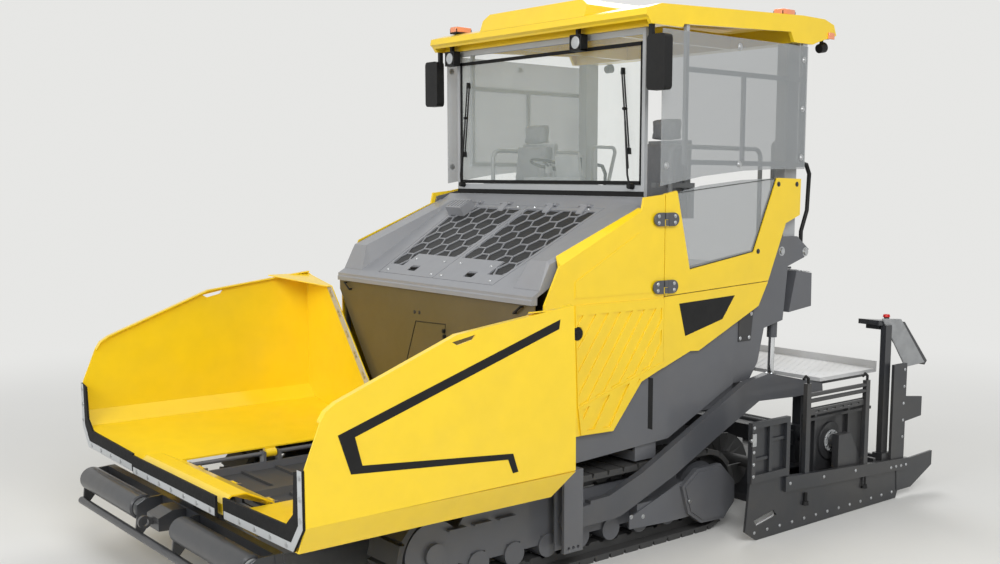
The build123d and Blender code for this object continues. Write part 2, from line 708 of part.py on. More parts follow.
def hood_slab(y_points, drop_top, drop_bottom):
    """A slab parallel to the hood's slope, cut to an (x, y) outline."""
    slab = side_plate([(hood_front_x, hood_front_z - drop_bottom), (hood_front_x, hood_front_z - drop_top),
                       (hood_rear_x, hood_rear_z - drop_top), (hood_rear_x, hood_rear_z - drop_bottom)],
                      -hood_half, hood_half)
    return slab & flat_plate(y_points, 1500, 2600)


def hood_ridge():
    """Raised shoulder beside a hood door, growing towards the front and stepping down at its end."""
    sections = []
    for x, inner_y, top, bevel in ((hood_rear_x, ridge_inner_rear, hood_rear_z + 10, 4),
                                   (ridge_front_x, ridge_inner_front + 10, ridge_front_z, 24),
                                   (ridge_end_x, ridge_inner_front, hood_z(ridge_end_x) + 6, 3)):
        base = hood_z(x) - 5
        slant = 0.45 * (top - base)
        sections.append((x, [(inner_y, base), (inner_y + slant, top), (hood_half - bevel, top),
                             (hood_half, top - bevel),
                             (hood_half, base)]))
    return section_loft(sections)


def hood_frame():
    """Fixed surround of the two hood doors, with raised shoulders, the bevelled lip and the hinge lugs."""
    whole = hood_slab([(hood_front_x, -hood_half), (hood_front_x, hood_half), (hood_rear_x, hood_half),
                       (hood_rear_x, -hood_half)], 0, hood_skin)
    front = hood_front_x - hood_front_band
    front_half, rear_half = hood_door_front_half + move_gap, hood_door_rear_half + move_gap
    opening = flat_plate([(front, -front_half), (front, front_half), (hood_rear_x + 30, rear_half),
                          (hood_rear_x + 30, -rear_half)], 1500, 2600)
    frame = whole - opening
    low = bulkhead_top_z + fit_gap
    frame += side_plate([(front + 20, low), (hood_front_x + 6, low), (hood_front_x + 6, low + 28),
                         (hood_front_x - 18, hood_z(hood_front_x - 18)), (front + 20, hood_z(front + 20))],
                        -hood_half, hood_half)
    frame += side_plate([(hood_rear_x, hood_rear_z), (hood_rear_x, hood_rear_z - 60),
                         (hood_rear_x - 100, hood_rear_z - 40),
                         (hood_rear_x - 100, hood_rear_z + 60)], -hood_half, hood_half)
    ridge = hood_ridge()
    frame += ridge + mirrored(ridge)
    axis_z = hood_z(hood_hinge_x) + hood_hinge_rise
    for y in hood_hinge_y:
        for side in (1, -1):
            frame += cross_rod(hood_hinge_x, side * (y - 60), side * (y + 60), axis_z, hood_pin_radius)
            for lug_y in (y - 60, y + 36):
                y0, y1 = side * lug_y, side * (lug_y + 24)
                frame += cross_rod(hood_hinge_x, y0, y1, axis_z, 9)
                frame += block(hood_rear_x + 5, hood_hinge_x, y0, y1, axis_z - 8, axis_z + 8)
                frame += block(hood_rear_x + 5, hood_rear_x + 26, y0, y1, axis_z - 25, axis_z + 8)
    return frame


def honeycomb():
    """Sketch of the door's honeycomb cells on the hood's plane."""
    field = Polygon((down_slope(70), 34), (down_slope(660), 34), (down_slope(660), 520),
                    (down_slope(800), 520),
                    (down_slope(800), hood_door_front_half - 15), (down_slope(70),
                                                                   hood_door_rear_half - 36), align=None)
    row_pitch = math.sqrt(3) * cell_radius
    cells = []
    for column in range(-1, 8):
        for row in range(-1, 8):
            down = down_slope(70) + (row + 0.5 * (column % 2)) * row_pitch
            cells.append(Pos(down, 100 + column * 1.5 * cell_radius)
                         * RegularPolygon(cell_radius - cell_rib / math.sqrt(3), 6, rotation=90))
    return Sketch() + cells & field


def hood_door_left():
    """One lifting hood door with its honeycomb, handle pocket and hinge knuckles."""
    front, rear = hood_front_x - hood_front_band - move_gap, hood_rear_x + 30 + move_gap
    outline = [(front, 3), (front, hood_door_front_half), (rear, hood_door_rear_half), (rear, 3)]
    door = hood_slab(outline, 0, hood_skin)
    door -= block(front - 106, front - 46, 300, 400, 1500, 2600) & hood_slab(outline, -5, 12)
    door -= extrude(hood_plane().offset(-cell_depth) * honeycomb(), cell_depth + 5)
    axis_z = hood_z(hood_hinge_x) + hood_hinge_rise
    for y in hood_hinge_y:
        y0, y1 = y - hood_hinge_half, y + hood_hinge_half
        door += cross_rod(hood_hinge_x, y0, y1, axis_z, hood_knuckle_radius)
        door += side_plate([(hood_hinge_x, axis_z - 8), (hood_hinge_x, axis_z + 8),
                            (hood_hinge_x + 60, hood_z(hood_hinge_x + 60) + 1),
                            (hood_hinge_x + 60, hood_z(hood_hinge_x + 60) - 14),
                            (hood_hinge_x + 8, hood_z(hood_hinge_x + 8) - 4)], y0, y1)
        door -= cross_rod(hood_hinge_x, y - 62, y + 62, axis_z, hood_pin_radius + pin_clearance)
    return door


def vent_box():
    """Slotted air box that stands on the right hood door, drawn on the left."""
    plane = hood_plane()
    height = 70.0
    box = plane * Pos(down_slope(125), 715, height / 2 - 10) * Box(130, 200, height + 20)
    for index in range(5):
        box -= plane * Pos(down_slope(125), 635 + index * 40, height) * Box(100, 18, 16)
    return box


# ================================================================ side bodywork
door_outline = [(door_hinge_x + 3, 2448), (45, 2428), (65, 2340), (778, 2000), (door_front_x, 1760),
                (door_front_x, 892),
                (607, 892), (312, 884), (54, 1190), (door_hinge_x + 3, 1261)]
window_outline = [(-272, 2459), (-405, 1929), (-1082, 2027), (-1324, 2563)]
upper_pane_arc = [(-112, 2505), (-520, 2572), (-950, 2614), (-1300, 2630), (rear_glass_x, 2635)]


def side_frame_left():
    """Grey inner side wall with the door opening and the window opening, down to the skirt."""
    wall = side_plate([(900, 720), (598, 710), (70, 738), (-239, 753), (-912, 1064), (-936, 1534),
                       (-1170, 1640),
                       (-1255, 1805), (-1440, 2215), (-1600, 2280), (-1600, 2550), (-1330, 2550),
                       (-1100, 2040),
                       (-395, 1945), (-255, 2455), (door_hinge_x - 10, 2440), (20, 2400), (38, 2325),
                       (752, 1980),
                       (885, 1735)], wall_inner, wall_outer)
    door_hole = side_plate([(door_hinge_x + 60, 2290), (20, 2290), (730, 1910), (850, 1680), (850, 940),
                            (650, 940),
                            (340, 940), (110, 1240), (door_hinge_x + 60, 1310)], wall_inner - 10,
                            wall_outer + 10)
    return wall - door_hole


def leaning_bars(top_z, bottom_z, first_x, count, pitch, width, lean):
    """Sketch of parallel bars that lean forward as they go down, as (x, z) shapes."""
    bars = []
    for index in range(count):
        x = first_x - index * pitch
        foot = x + lean * (top_z - bottom_z)
        bars.append(Polygon((x, top_z), (x - width, top_z), (foot - width, bottom_z), (foot, bottom_z),
                            align=None))
    return Sketch() + bars


def side_door_left():
    """Ribbed engine-bay door with its bevelled top, swinging out about its rear edge."""
    inner = body_half - panel_thickness + move_gap
    door = side_plate(door_outline, inner, body_half)
    face = Plane(origin=(0, body_half, 0), x_dir=(1, 0, 0), z_dir=(0, -1, 0))
    border_front, border_rear = (626, 1070), (door_hinge_x + 7, 1297)
    lower = [(653, door_ledge_z), border_front, border_rear, (door_hinge_x + 7, door_ledge_z)]
    foot = [(626, 1080), (600, 898), (316, 890), (60, 1192), (door_hinge_x + 7, 1268),
            (door_hinge_x + 7, 1307)]
    door += side_plate(lower, body_half - 1, body_half + door_boss)
    door += side_plate(foot, body_half - 1, body_half + 1.5 * door_boss)
    door += side_plate([(652, 1897), (80, 2201), (-32, 1790), (652, 1790)], body_half - 1,
                       body_half + 0.5 * door_boss)
    field = Polygon((640, 1680), (616, 1095), (door_hinge_x + 24, 1320), (door_hinge_x + 24, 1680),
                    align=None)
    grooves = leaning_bars(1680, 1050, 648, 9, rib_pitch, rib_pitch - rib_width, 0.70) & field
    door -= extrude(face * grooves, 3 * door_boss, dir=(0, 1, 0))
    foot_field = Polygon((590, 1065), (575, 925), (322, 918), (150, 1125), (70, 1215), (100, 1215),
                         align=None)
    foot_grooves = leaning_bars(1240, 880, 500, 5, 145, 70, 0.63) & foot_field
    door -= extrude(face * foot_grooves, 3 * door_boss, dir=(0, 1, 0))
    # bevelled strip along the sloping top edge
    top_y = hood_half + move_gap
    strip = []
    for x in (52, 772):
        crease = 2340 - (x - 65) * (2340 - 2000) / (778 - 65)
        top = crease + 14 + (x - 52) * (door_crease_drop - 26) / (772 - 52)
        strip.append((x, [(body_half, crease), (top_y, top), (top_y, top - 10), (inner - 8, crease - 12),
                          (inner + 1, crease - 14), (body_half, crease - 14)]))
    door += section_loft(strip)
    door -= rod((626, body_half - 6, 1563), (626, body_half + 20, 1563), 46)
    for z in door_hinge_heights:
        door += rod((door_hinge_x, door_hinge_y, z - 45), (door_hinge_x, door_hinge_y, z - 1),
                    door_hinge_radius)
        door += block(door_hinge_x, door_hinge_x + 70, body_half - 1, door_hinge_y + 4, z - 45, z - 1)
        door -= rod((door_hinge_x, door_hinge_y, z - 60), (door_hinge_x, door_hinge_y, z + 1),
                    door_pin_radius + pin_clearance)
    return door


def side_panel_left():
    """Yellow window panel and lower panel, each its own sheet."""
    inner = body_half - panel_thickness
    upper = side_plate([(door_hinge_x - 3, 2452), (-263, 2472)] + window_outline
                       + [(-1345, 2566), (-1608, 2561), (-1607, 2289), (-1443, 2230), (-1255, 1808),
                          (door_hinge_x - 3, 1758)], inner, body_half)
    lower = side_plate([(door_hinge_x - 3, 1752), (-1255, 1802), (-1152, 1626), (-512, 1349), (-427, 1355),
                        (door_hinge_x - 3, 1261)], inner, body_half)
    return group(upper, lower)


def door_hinges_left():
    """Fixed halves and pins of the side door's two hinges."""
    pieces = []
    for z in door_hinge_heights:
        hinge = rod((door_hinge_x, door_hinge_y, z - 44), (door_hinge_x, door_hinge_y, z + 45),
                    door_pin_radius)
        hinge += rod((door_hinge_x, door_hinge_y, z + 1), (door_hinge_x, door_hinge_y, z + 45),
                     door_hinge_radius)
        hinge += block(door_hinge_x - 70, door_hinge_x, body_half + fit_gap, door_hinge_y + 4, z + 1, z + 45)
        pieces.append(hinge)
    return group(*pieces)


def rear_body():
    """Hollow housing under the platform, narrower between the rear columns, open below."""
    narrow = column_inner_y - fit_gap
    low, high = deck_z + fit_gap, platform_z - platform_plate
    wall = body_sheet
    shell = block(platform_step_x, rear_wall_x, -cross_half, cross_half, low, high)
    shell += block(platform_step_x - 250, platform_step_x, -narrow, narrow, low, high)
    hollow = block(platform_step_x + wall, rear_wall_x - wall, wall - cross_half, cross_half - wall,
                   low - 1, high - wall)
    hollow += block(platform_step_x - 250 + wall, platform_step_x + 2 * wall, wall - narrow, narrow - wall,
                    low - 1,
                    high - wall)
    return shell - hollow


def platform():
    """Operator's floor, narrower between the rear columns, with the upstand behind the hood."""
    narrow = column_inner_y - fit_gap
    low = platform_z - platform_plate + fit_gap
    front = rear_wall_x + 15
    floor = block(platform_step_x, front, -cross_half, cross_half, low, platform_z)
    floor += block(platform_rear_x, platform_step_x, -narrow, narrow, low, platform_z)
    floor += block(front - platform_plate, front, -cross_half, cross_half, platform_z, hood_rear_z - 45)
    return floor


# ================================================================ rear column
def rear_column_left():
    """Two plates and a web that hold the lift cylinder, with the step box behind."""
    outline = [(-940, 1064), (-955, 1534), (-1150, 1760), (-1380, 2080), (-1440, column_top_z),
               (-1648, column_top_z), (-1793, 2022), (-1740, 1960), (-1545, 1900), (-1499, 1490),
               (-1280, 1445),
               (-1216, 1194), (-1120, 1064)]
    web = [(-940, 1064), (-955, 1534), (-1150, 1760), (-1330, 1960), (-1330, 1900), (-1300, 1500),
           (-1235, 1400),
           (-1190, 1194), (-1120, 1064)]
    step = [(-1653, 1859), (-1841, 1834), (-1846, 1575), (-1571, 1544)]
    seat_inner = column_inner_y + column_plate + fit_gap
    seat_outer = column_outer_y - column_plate - fit_gap
    inner = side_plate(outline, column_inner_y, column_inner_y + column_plate)
    inner += block(-1648, -1560, column_inner_y, seat_outer, column_top_z - 20, column_top_z)
    inner += cross_rod(lift_pin_x, column_inner_y, seat_outer, lift_pin_z, lift_pin_radius)
    inner += side_plate(step, column_inner_y, column_outer_y)
    inner += side_plate([(-1500, 1750), (-1640, 1750), (-1620, 1600), (-1490, 1600)], column_inner_y,
                        column_inner_y + column_plate)
    outer = side_plate(outline, column_outer_y - column_plate, column_outer_y)
    return group(inner, outer, side_plate(web, seat_inner, seat_outer))


# ================================================================ canopy
def windshield_frame():
    """Lower rail, posts and top rail round the front pane."""
    half, reach = windshield_half, windshield_bar / 2
    x0, x1 = windshield_x - reach, windshield_x + reach
    frame = block(x0, x1, -half, half, windshield_bottom_z - 50, windshield_bottom_z + windshield_bar)
    frame += block(x0, x1, -half, half, windshield_top_z, roof_low_z - fit_gap)
    for side in (1, -1):
        frame += block(x0, x1, side * (half - windshield_bar), side * half, windshield_bottom_z,
                       windshield_top_z + 5)
        frame += block(x0, x1, side * (half - 80), side * (half - windshield_bar), hood_rear_z - 45 + fit_gap,
                       windshield_bottom_z - 40)
    return frame


def windshield_glass():
    """Front pane seated in its frame."""
    half = windshield_half - windshield_bar - fit_gap
    return block(windshield_x - glass / 2, windshield_x + glass / 2, -half, half,
                 windshield_bottom_z + windshield_bar + fit_gap, windshield_top_z - fit_gap)


def side_glass_left():
    """Upper pane with a curved lower edge, and the lower pane that closes the window opening below it."""
    upper = side_plate(upper_pane_arc + [(rear_glass_x, 3540), (-112, 3540)], side_glass_y - glass,
                       side_glass_y)
    arc = [(x, z - window_gap) for x, z in upper_pane_arc[1:3]]
    lower = Polygon(*window_outline, *reversed(arc), align=None)
    side = Plane(origin=(0, body_half - panel_thickness + 4, 0), x_dir=(1, 0, 0), z_dir=(0, -1, 0))
    return group(upper, extrude(side * offset(lower, -fit_gap), glass, dir=(0, 1, 0)))


def window_bars_left():
    """Tubes that hold the upper side pane, tied to the front pane's frame."""
    bar = 26.0
    y1 = side_glass_y - glass - fit_gap
    y0 = y1 - bar
    bars = block(-372, -342, y0, y1, 2650, roof_low_z + 25)
    bars += block(rear_glass_x, rear_glass_x + 50, y0, y1, 2650, roof_low_z - fit_gap)
    for z in (2650, 3275):
        bars += block(rear_glass_x, -342, y0, y1, z, z + 34)
    bars += block(-965, -940, y0, y1, 2650, 3290)
    return bars


def roof_posts():
    """Two rear posts from the column tops to the roof."""
    return both_sides(block(post_rear_x, post_front_x, column_inner_y + 10, column_outer_y - 20,
                            column_top_z + fit_gap, roof_low_z - fit_gap))


def roof():
    """Canopy roof: a thin tray with a stepped front, cross beams inside and a raised middle."""
    top = [(roof_front_x - 10, roof_low_z + 100), (-89, roof_low_z + 138), (-1577, roof_low_z + 201),
           (-1837, roof_low_z + 198), (-1952, roof_low_z + 165), (roof_rear_x, roof_low_z + 88)]
    low = [(-1761, roof_low_z + 22), (-1700, roof_low_z), (0, roof_low_z), (roof_front_x - 20,
                                                                            roof_low_z + 40),
           (roof_front_x, roof_low_z + 55)]
    body = side_plate(top + low, -body_half, body_half)
    skin = [(x, z - roof_skin) for x, z in top[1:4]]
    body -= side_plate([(roof_front_x - roof_skin, roof_low_z - 1), (roof_front_x - roof_skin,
                                                                     roof_low_z + 72)] + skin
                       + [(-1925, roof_low_z + 140), (-1945, roof_low_z + 90), (-1945, roof_low_z - 1)],
                       roof_skin - body_half, body_half - roof_skin)
    # relieve the sides between the lobes over the posts
    body -= side_plate([(-290, roof_low_z - 1), (-310, roof_low_z + 24), (-1440, roof_low_z + 72),
                        (-1480, roof_low_z - 1)], -body_half - 1, body_half + 1)
    crown = side_plate([(roof_front_x - 25, roof_low_z + 105), (roof_front_x - 70, roof_low_z + 234),
                        (-1560, roof_low_z + 262), (-1800, roof_low_z + 180)], -crown_half, crown_half)
    keep = cross_plate([(-crown_half, roof_low_z), (-crown_half, roof_low_z + 234 - crown_rise),
                        (125 - crown_half, roof_low_z + 270), (crown_half - 125, roof_low_z + 270),
                        (crown_half, roof_low_z + 234 - crown_rise), (crown_half, roof_low_z)], -2000, 100)
    hollow = side_plate([(roof_front_x - 100, roof_low_z + 60), (roof_front_x - 110, roof_low_z + 195),
                         (-1540, roof_low_z + 225), (-1740, roof_low_z + 160), (-1700, roof_low_z + 60)],
                        roof_skin - 480, 480 - roof_skin)
    body = body + (crown & keep) - hollow
    for x0, x1 in ((windshield_x - 40, windshield_x + 40), (post_rear_x, post_front_x)):
        body += block(x0, x1, -body_half + roof_skin, body_half - roof_skin, roof_low_z, roof_low_z + 115)
    for side in (1, -1):
        body += block(post_rear_x, windshield_x, side * 560, side * 610, roof_low_z, roof_low_z + 110)
    return body


# ================================================================ cab inside
def seats():
    """Two operator's seats: pedestals, shells and armrests."""
    pieces = []
    for side in (1, -1):
        y = side * seat_y
        seat = block(seat_back_x + 80, seat_front_x - 80, y - 120, y + 120, platform_z + fit_gap, seat_pan_z)
        seat += block(seat_back_x, seat_front_x, y - 235, y + 235, seat_pan_z, seat_pan_z + 20)
        seat += side_plate([(seat_back_x, seat_pan_z), (seat_back_x + 40, seat_pan_z),
                            (seat_back_x + 20, 2830),
                            (seat_back_x - 15, 2830)], y - 205, y + 205)
        for edge in (-1, 1):
            arm_y = y + edge * 235
            seat += block(seat_back_x, seat_back_x + 40, arm_y - 15, arm_y + 15, seat_pan_z, seat_pan_z + 240)
            seat += block(seat_back_x, seat_front_x - 40, arm_y - 20, arm_y + 20, seat_pan_z + 220,
                          seat_pan_z + 255)
            seat += block(seat_back_x, seat_back_x + 40, y, arm_y + edge * 15, seat_pan_z, seat_pan_z + 20)
        pieces.append(seat)
    return group(*pieces)


def seat_cushions():
    """Plain soft solids of the seats."""
    pieces = []
    pan = seat_pan_z + 20 + fit_gap
    for side in (1, -1):
        y = side * seat_y
        pieces.append(block(seat_back_x + 45, seat_front_x + 5, y - 218, y + 218, pan, pan + cushion))
        pieces.append(side_plate([(seat_back_x + 41, pan + cushion + fit_gap),
                                  (seat_back_x + 130, pan + cushion + fit_gap),
                                  (seat_back_x + 95, 2830), (seat_back_x + 22, 2830)], y - 205, y + 205))
        pieces.append(block(seat_back_x - 10, seat_back_x + 90, y - 125, y + 125, 2830 + fit_gap, 2995))
    return group(*pieces)


def console():
    """Control desk behind the front pane with its screen, wheel post and lever."""
    desk = side_plate([(-165, platform_z + fit_gap), (-165, 2500), (-200, 2560), (-400, 2500), (-400, 2440),
                       (-300, platform_z + fit_gap)], -330, 330)
    desk += side_plate([(-215, 2540), (-190, 2720), (-215, 2725), (-245, 2550)], 40, 300)
    desk += rod((-320, -180, 2480), (-320, -180, 2600), 14)
    desk += rod((-320, -180, 2590), (-320, -180, 2650), 28)
    desk += rod((-300, -30, 2500), (-300, -30, 2580), 11)
    desk += rod((-300, -30, 2570), (-300, -30, 2610), 20)
    return desk


def handrails():
    """Guard rails of the platform: a rail inside each window and a hoop over each rear column."""
    pieces = []
    foot = platform_z + fit_gap
    for side in (1, -1):
        y = side * (column_inner_y - 40)
        pieces.append(rail([(-420, y, foot), (-420, y, 2780), (-1390, y, 2780), (-1390, y, foot)], 17, 70))
        pieces.append(rail([(-1690, y, foot), (-1690, y, 2380), (-1820, y, 2838), (-1340 - 200, y, 2838),
                            (-1340 - 200, y, foot)], 17, 45))
    return group(*pieces)


def mirrors():
    """Two rounded side mirrors on their arms."""
    pieces = []
    for side in (1, -1):
        head = block(-60, 10, side * 1215, side * 1385, 3130, 3490)
        head = fillet(head.edges().filter_by(Axis.X), 30)
        arm = block(-45, -15, side * 1205, side * 1235, 3440, roof_low_z - fit_gap)
        arm += block(-45, -15, side * 1205, side * 1290, 3440, 3470)
        pieces.append(head + arm)
    return group(*pieces)


def lamps():
    """Round work lamps under the roof's front edge, and flat beacons on the roof."""
    pieces = []
    for y in (-1060, 480):
        lamp = rod((-66, y, 3500), (-6, y, 3500), 55)
        lamp += block(-50, -20, y - 12, y + 12, 3540, roof_low_z + 85)
        pieces.append(lamp)
    for x, y in ((-140, -1088), (-1540, 1100)):
        base = roof_low_z + min(138 + (-14 - x) / 1488 * 63, 201) + fit_gap
        pieces.append(chamfer(block(x - 75, x + 75, y - 45, y + 45, base,
                                    base + 50).faces().sort_by(Axis.Z)[-1].edges(), 12))
    rear = roof_rear_x - fit_gap
    pieces.append(block(rear - 50, rear, 1040, 1160, roof_low_z + 75, roof_low_z + 130))
    return group(*pieces)


# ================================================================ augers
def flight_corner(index, radius, shift):
    """A corner of the screw blade at a step round its shaft."""
    angle = 2 * math.pi * index / auger_facets
    return Vector(auger_x + radius * math.cos(angle),
                  auger_inner_y + 60 + auger_pitch * index / auger_facets + shift,
                  auger_z + radius * math.sin(angle))


def flat_face(*corners):
    """A flat face between corners."""
    return make_face(Polyline(*corners, close=True).edges())


def auger_flight():
    """Screw blade as a closed shell of flat facets wound round the shaft."""
    rims = (auger_shaft_radius - 12, auger_radius)
    last = auger_turns * auger_facets
    faces = []
    for index in range(last):
        here = [flight_corner(index, radius, shift) for radius in rims for shift in (0, auger_blade)]
        there = [flight_corner(index + 1, radius, shift) for radius in rims for shift in (0, auger_blade)]
        for side in (0, 1):
            faces.append(flat_face(here[side], here[2 + side], there[2 + side]))
            faces.append(flat_face(here[side], there[2 + side], there[side]))
        for rim in (0, 2):
            faces.append(flat_face(here[rim], there[rim], there[rim + 1], here[rim + 1]))
    for index in (0, last):
        inner, inner_far, outer, outer_far = [flight_corner(index, radius, shift)
                                              for radius in rims for shift in (0, auger_blade)]
        faces.append(flat_face(inner, outer, outer_far, inner_far))
    return Solid(Shell(faces))


def auger_left():
    """Spreading auger: bored shaft with its screw blade."""
    auger = cross_rod(auger_x, auger_inner_y, auger_half, auger_z, auger_shaft_radius) + auger_flight()
    return auger - cross_rod(auger_x, auger_inner_y - 60, auger_inner_y + 90, auger_z,
                             auger_stub_radius + pin_clearance)


def auger_drive():
    """Chain case between the augers with the stubs that carry them."""
    case = block(auger_x - 70, auger_x + 70, -80, 80, auger_z - 80, auger_beam_z - fit_gap)
    return case + cross_rod(auger_x, -auger_inner_y - 85, auger_inner_y + 85, auger_z, auger_stub_radius)


# ================================================================ screed
def tow_arm_left():
    """Cranked tow arm with its eye at the tow point."""
    outline = [(545, 300), (548, 460), (379, 465), (71, 572), (-967, 1072), (-1237, 1118), (-1891, 968),
               (-1900, 905),
               (-1566, 901), (-1129, 919), (-714, 731), (-252, 507), (269, 309), (343, 300)]
    arm = side_plate(outline, arm_inner_y, arm_outer_y)
    arm += side_plate([(500, 300), (500, 440), (tow_x, 430), (tow_x, 296)], arm_inner_y, arm_outer_y)
    arm += cross_rod(tow_x, arm_inner_y, arm_outer_y, tow_z, 68)
    arm -= cross_rod(tow_x, arm_inner_y - 5, arm_outer_y + 5, tow_z, tow_pin_radius + pin_clearance)
    arm += cross_rod(lift_eye_x, lift_y - 36, arm_inner_y + 5, lift_eye_z, lift_pin_radius)
    return arm


def box_section(x0, x1, y0, y1, z0, z1, wall):
    """A box section open at its ends along Y."""
    return block(x0, x1, y0, y1, z0, z1) - block(x0 + wall, x1 - wall, y0 - 1, y1 + 1, z0 + wall, z1 - wall)


def screed_body():
    """Basic screed: sole and box, tube housings, and brackets for the arms and the walkway."""
    front, rear, top = screed_front_x, screed_rear_x, screed_box_z
    wall = screed_wall
    nose = [(front, 0), (front, 60), (front - 60, top), (front - 60 - wall, top), (front - wall, 60),
            (front - wall, 20),
            (rear, 20), (rear, 0)]
    bore = tube_radius + 0.5
    guide_end = tube_end_y - extension_in - move_gap
    body = side_plate(nose, -screed_half, screed_half)
    body += block(rear, rear + wall, -screed_half, screed_half, 20, top)
    body += block(rear, front - 60, -screed_half, screed_half, top - wall, top)
    body += box_section(-1700, -1580, -1180, 1180, 480, 600, sheet)
    for side in (1, -1):
        for y in (400, 1100):
            body += block(-1660, -1620, side * y, side * (y + 40), top - 1, 485)
        for y0, y1 in ((60, 140), (1085, guide_end)):
            body += block(tube_x - 80, tube_x + 80, side * y0, side * y1, top - 1, tube_z + 80)
        body += cross_rod(tube_x, side * 60, side * guide_end, tube_z, tube_radius + 20)
        body -= cross_rod(tube_x, side * 80, side * 1260, tube_z, bore)
        body += block(tube_x - 80, tube_x + 20, side * 1100, side * 1180, tube_z + 79, 960)
        body += block(tube_x - 80, tube_x + 20, side * 1180, side * (arm_inner_y - fit_gap), 860, 960)
        body += block(walkway_rear_x + 40, tube_x + 20, side * 1100, side * 1180, 930,
                      walkway_z - walkway_plate)
    return body


def walkway():
    """Deck over the screed with its small upper step and toe rail."""
    low = walkway_z - walkway_plate + fit_gap
    deck = block(walkway_rear_x, walkway_front_x, -screed_half, screed_half, low, walkway_z)
    deck += block(walkway_rear_x, walkway_rear_x + sheet, -screed_half, screed_half, walkway_z,
                  walkway_z + 60)
    return deck


def extension_left():
    """Extending screed half with its flanged guide tube, end plate and brackets."""
    inner_y = extension_in + 20.0
    outer_y = end_gate_y - end_gate_thickness / 2
    front = screed_rear_x - move_gap
    wall = extension_wall
    box = box_section(extension_rear_x, front, inner_y, outer_y, 0, screed_box_z, wall)
    box += block(extension_rear_x, front, outer_y - wall, outer_y, 10, screed_box_z)
    box += cross_rod(tube_x, extension_in + 90, tube_end_y, tube_z, tube_radius)
    box += cross_rod(tube_x, tube_end_y, tube_end_y + 20, tube_z, tube_flange_radius)
    box += cross_rod(tube_x, tube_end_y, outer_y, tube_z, tube_radius)
    bracket = [(tube_x + 70, screed_box_z + 15), (tube_x + 70, tube_z + 70), (tube_x - 80, tube_z + 70),
               (front - 120, screed_box_z + 60), (front - 120, screed_box_z - 2),
               (front - 6, screed_box_z - 2),
               (front - 6, screed_box_z + 15)]
    box += side_plate(bracket, outer_y - 60, outer_y)
    box += block(console_post_x - 60, console_post_x + 60, outer_y - 90, outer_y, screed_box_z - 2,
                 screed_box_z + 60)
    for index in range(3):
        x = front - 200 - index * 120
        box += block(x, x + 30, inner_y + 60, outer_y, screed_box_z - 1, screed_box_z + 40)
    return box


def end_gate_left():
    """Side plate with its front box, beam, posts, cross tubes and rear guard."""
    y0 = end_gate_y - end_gate_thickness / 2 + fit_gap
    y1 = end_gate_y + end_gate_thickness / 2
    plate = side_plate([(-639, 81), (-763, 2), (-2496, 2), (-2560, 150), (-2470, 300), (-683, 455)], y0, y1)
    plate -= side_plate([(-760, 110), (-730, 150), (-950, 190), (-980, 150)], y0 - 1, y1 + 1)
    front_box = block(-1090, -670, y0, y1 + 20, 430, 862) - block(-1050, -710, y0 - 1, y1 + 30, 486, 822)
    plate += front_box
    plate += side_plate([(-1050, 310), (-1050, 420), (-2630, 320), (-2630, 230)], y0 + 5, y1 + 25)
    posts = ((-1304, 430, 1075), (-2040, 300, 1020))
    for x, low, top in posts:
        plate += block(x - gate_post / 2, x + gate_post / 2, y0, y1 + 15, low - 130, top)
    for z in (940, 985):
        plate += rod((posts[1][0], end_gate_y + 8, z), (posts[0][0], end_gate_y + 8, z), gate_tube_radius)
    rail_plate = block(posts[1][0], posts[0][0], end_gate_y, end_gate_y + sheet, 830, 875)
    for index in range(6):
        x = posts[1][0] + 90 + index * 100
        rail_plate -= block(x, x + 50, end_gate_y - 1, end_gate_y + sheet + 1, 846, 860)
    plate += rail_plate
    guard = block(-2580, -2400, y0, y1 + 5, 300, 1100)
    guard += side_plate([(-2570, 620), (-2820, 640), (-2820, 800), (-2570, 830)], y0 + 2, y1)
    plate += guard
    plate += side_plate([(-2500, 60), (-2480, 300), (-3000, 320), (-3000, 200), (-2700, 60)], y0 + 5, y1 + 5)
    return plate


def screed_console_left():
    """Screed operator's desk on its post."""
    outer_y = end_gate_y - end_gate_thickness / 2
    desk = side_plate([(-2269, 1459), (-2634, 1422), (-2984, 1072), (-2950, 1040), (-2600, 1380),
                       (-2269, 1420)],
                      end_gate_y - 250, end_gate_y - 60)
    desk += side_plate([(-2330, 1424), (-2330, 1380), (-2590, 1350), (-2900, 1060), (-2950, 1062),
                        (-2620, 1400)],
                       end_gate_y - 220, end_gate_y - 90)
    desk += block(console_post_x - 40, console_post_x + 40, outer_y - 70, outer_y - 20,
                  screed_box_z + 60 + fit_gap, 1415)
    desk += rod((-2450, outer_y - 100, 1430), (-2450, outer_y - 100, 1475), 22)
    return desk


# ================================================================ cylinders
def cylinder_pair(base, eye, axis, barrel_radius, rod_radius, pin_radius, barrel_length, eye_clearance,
                  width):
    """Barrel and rod between two pins with parallel axes; the rod's eye has clearance round its pin."""
    base, eye, axis = Vector(*base), Vector(*eye), Vector(*axis)
    direction = (eye - base).normalized()
    reach = (eye - base).length
    half = axis * (width / 2)
    barrel = rod(base + direction * (pin_radius + 6), base + direction * barrel_length, barrel_radius)
    barrel += rod(base - half, base + half, pin_radius + 14)
    barrel -= rod(base - half * 2, base + half * 2, pin_radius + pin_clearance)
    barrel -= rod(base + direction * (pin_radius + 50), base + direction * (barrel_length + 5),
                  rod_radius + 1)
    top = barrel_length - 100
    piston = rod(base + direction * top, base + direction * (reach - pin_radius - eye_clearance - 8),
                 rod_radius)
    piston += rod(eye - half, eye + half, pin_radius + eye_clearance + 14)
    piston -= rod(eye - half * 2, eye + half * 2, pin_radius + eye_clearance)
    return barrel, piston


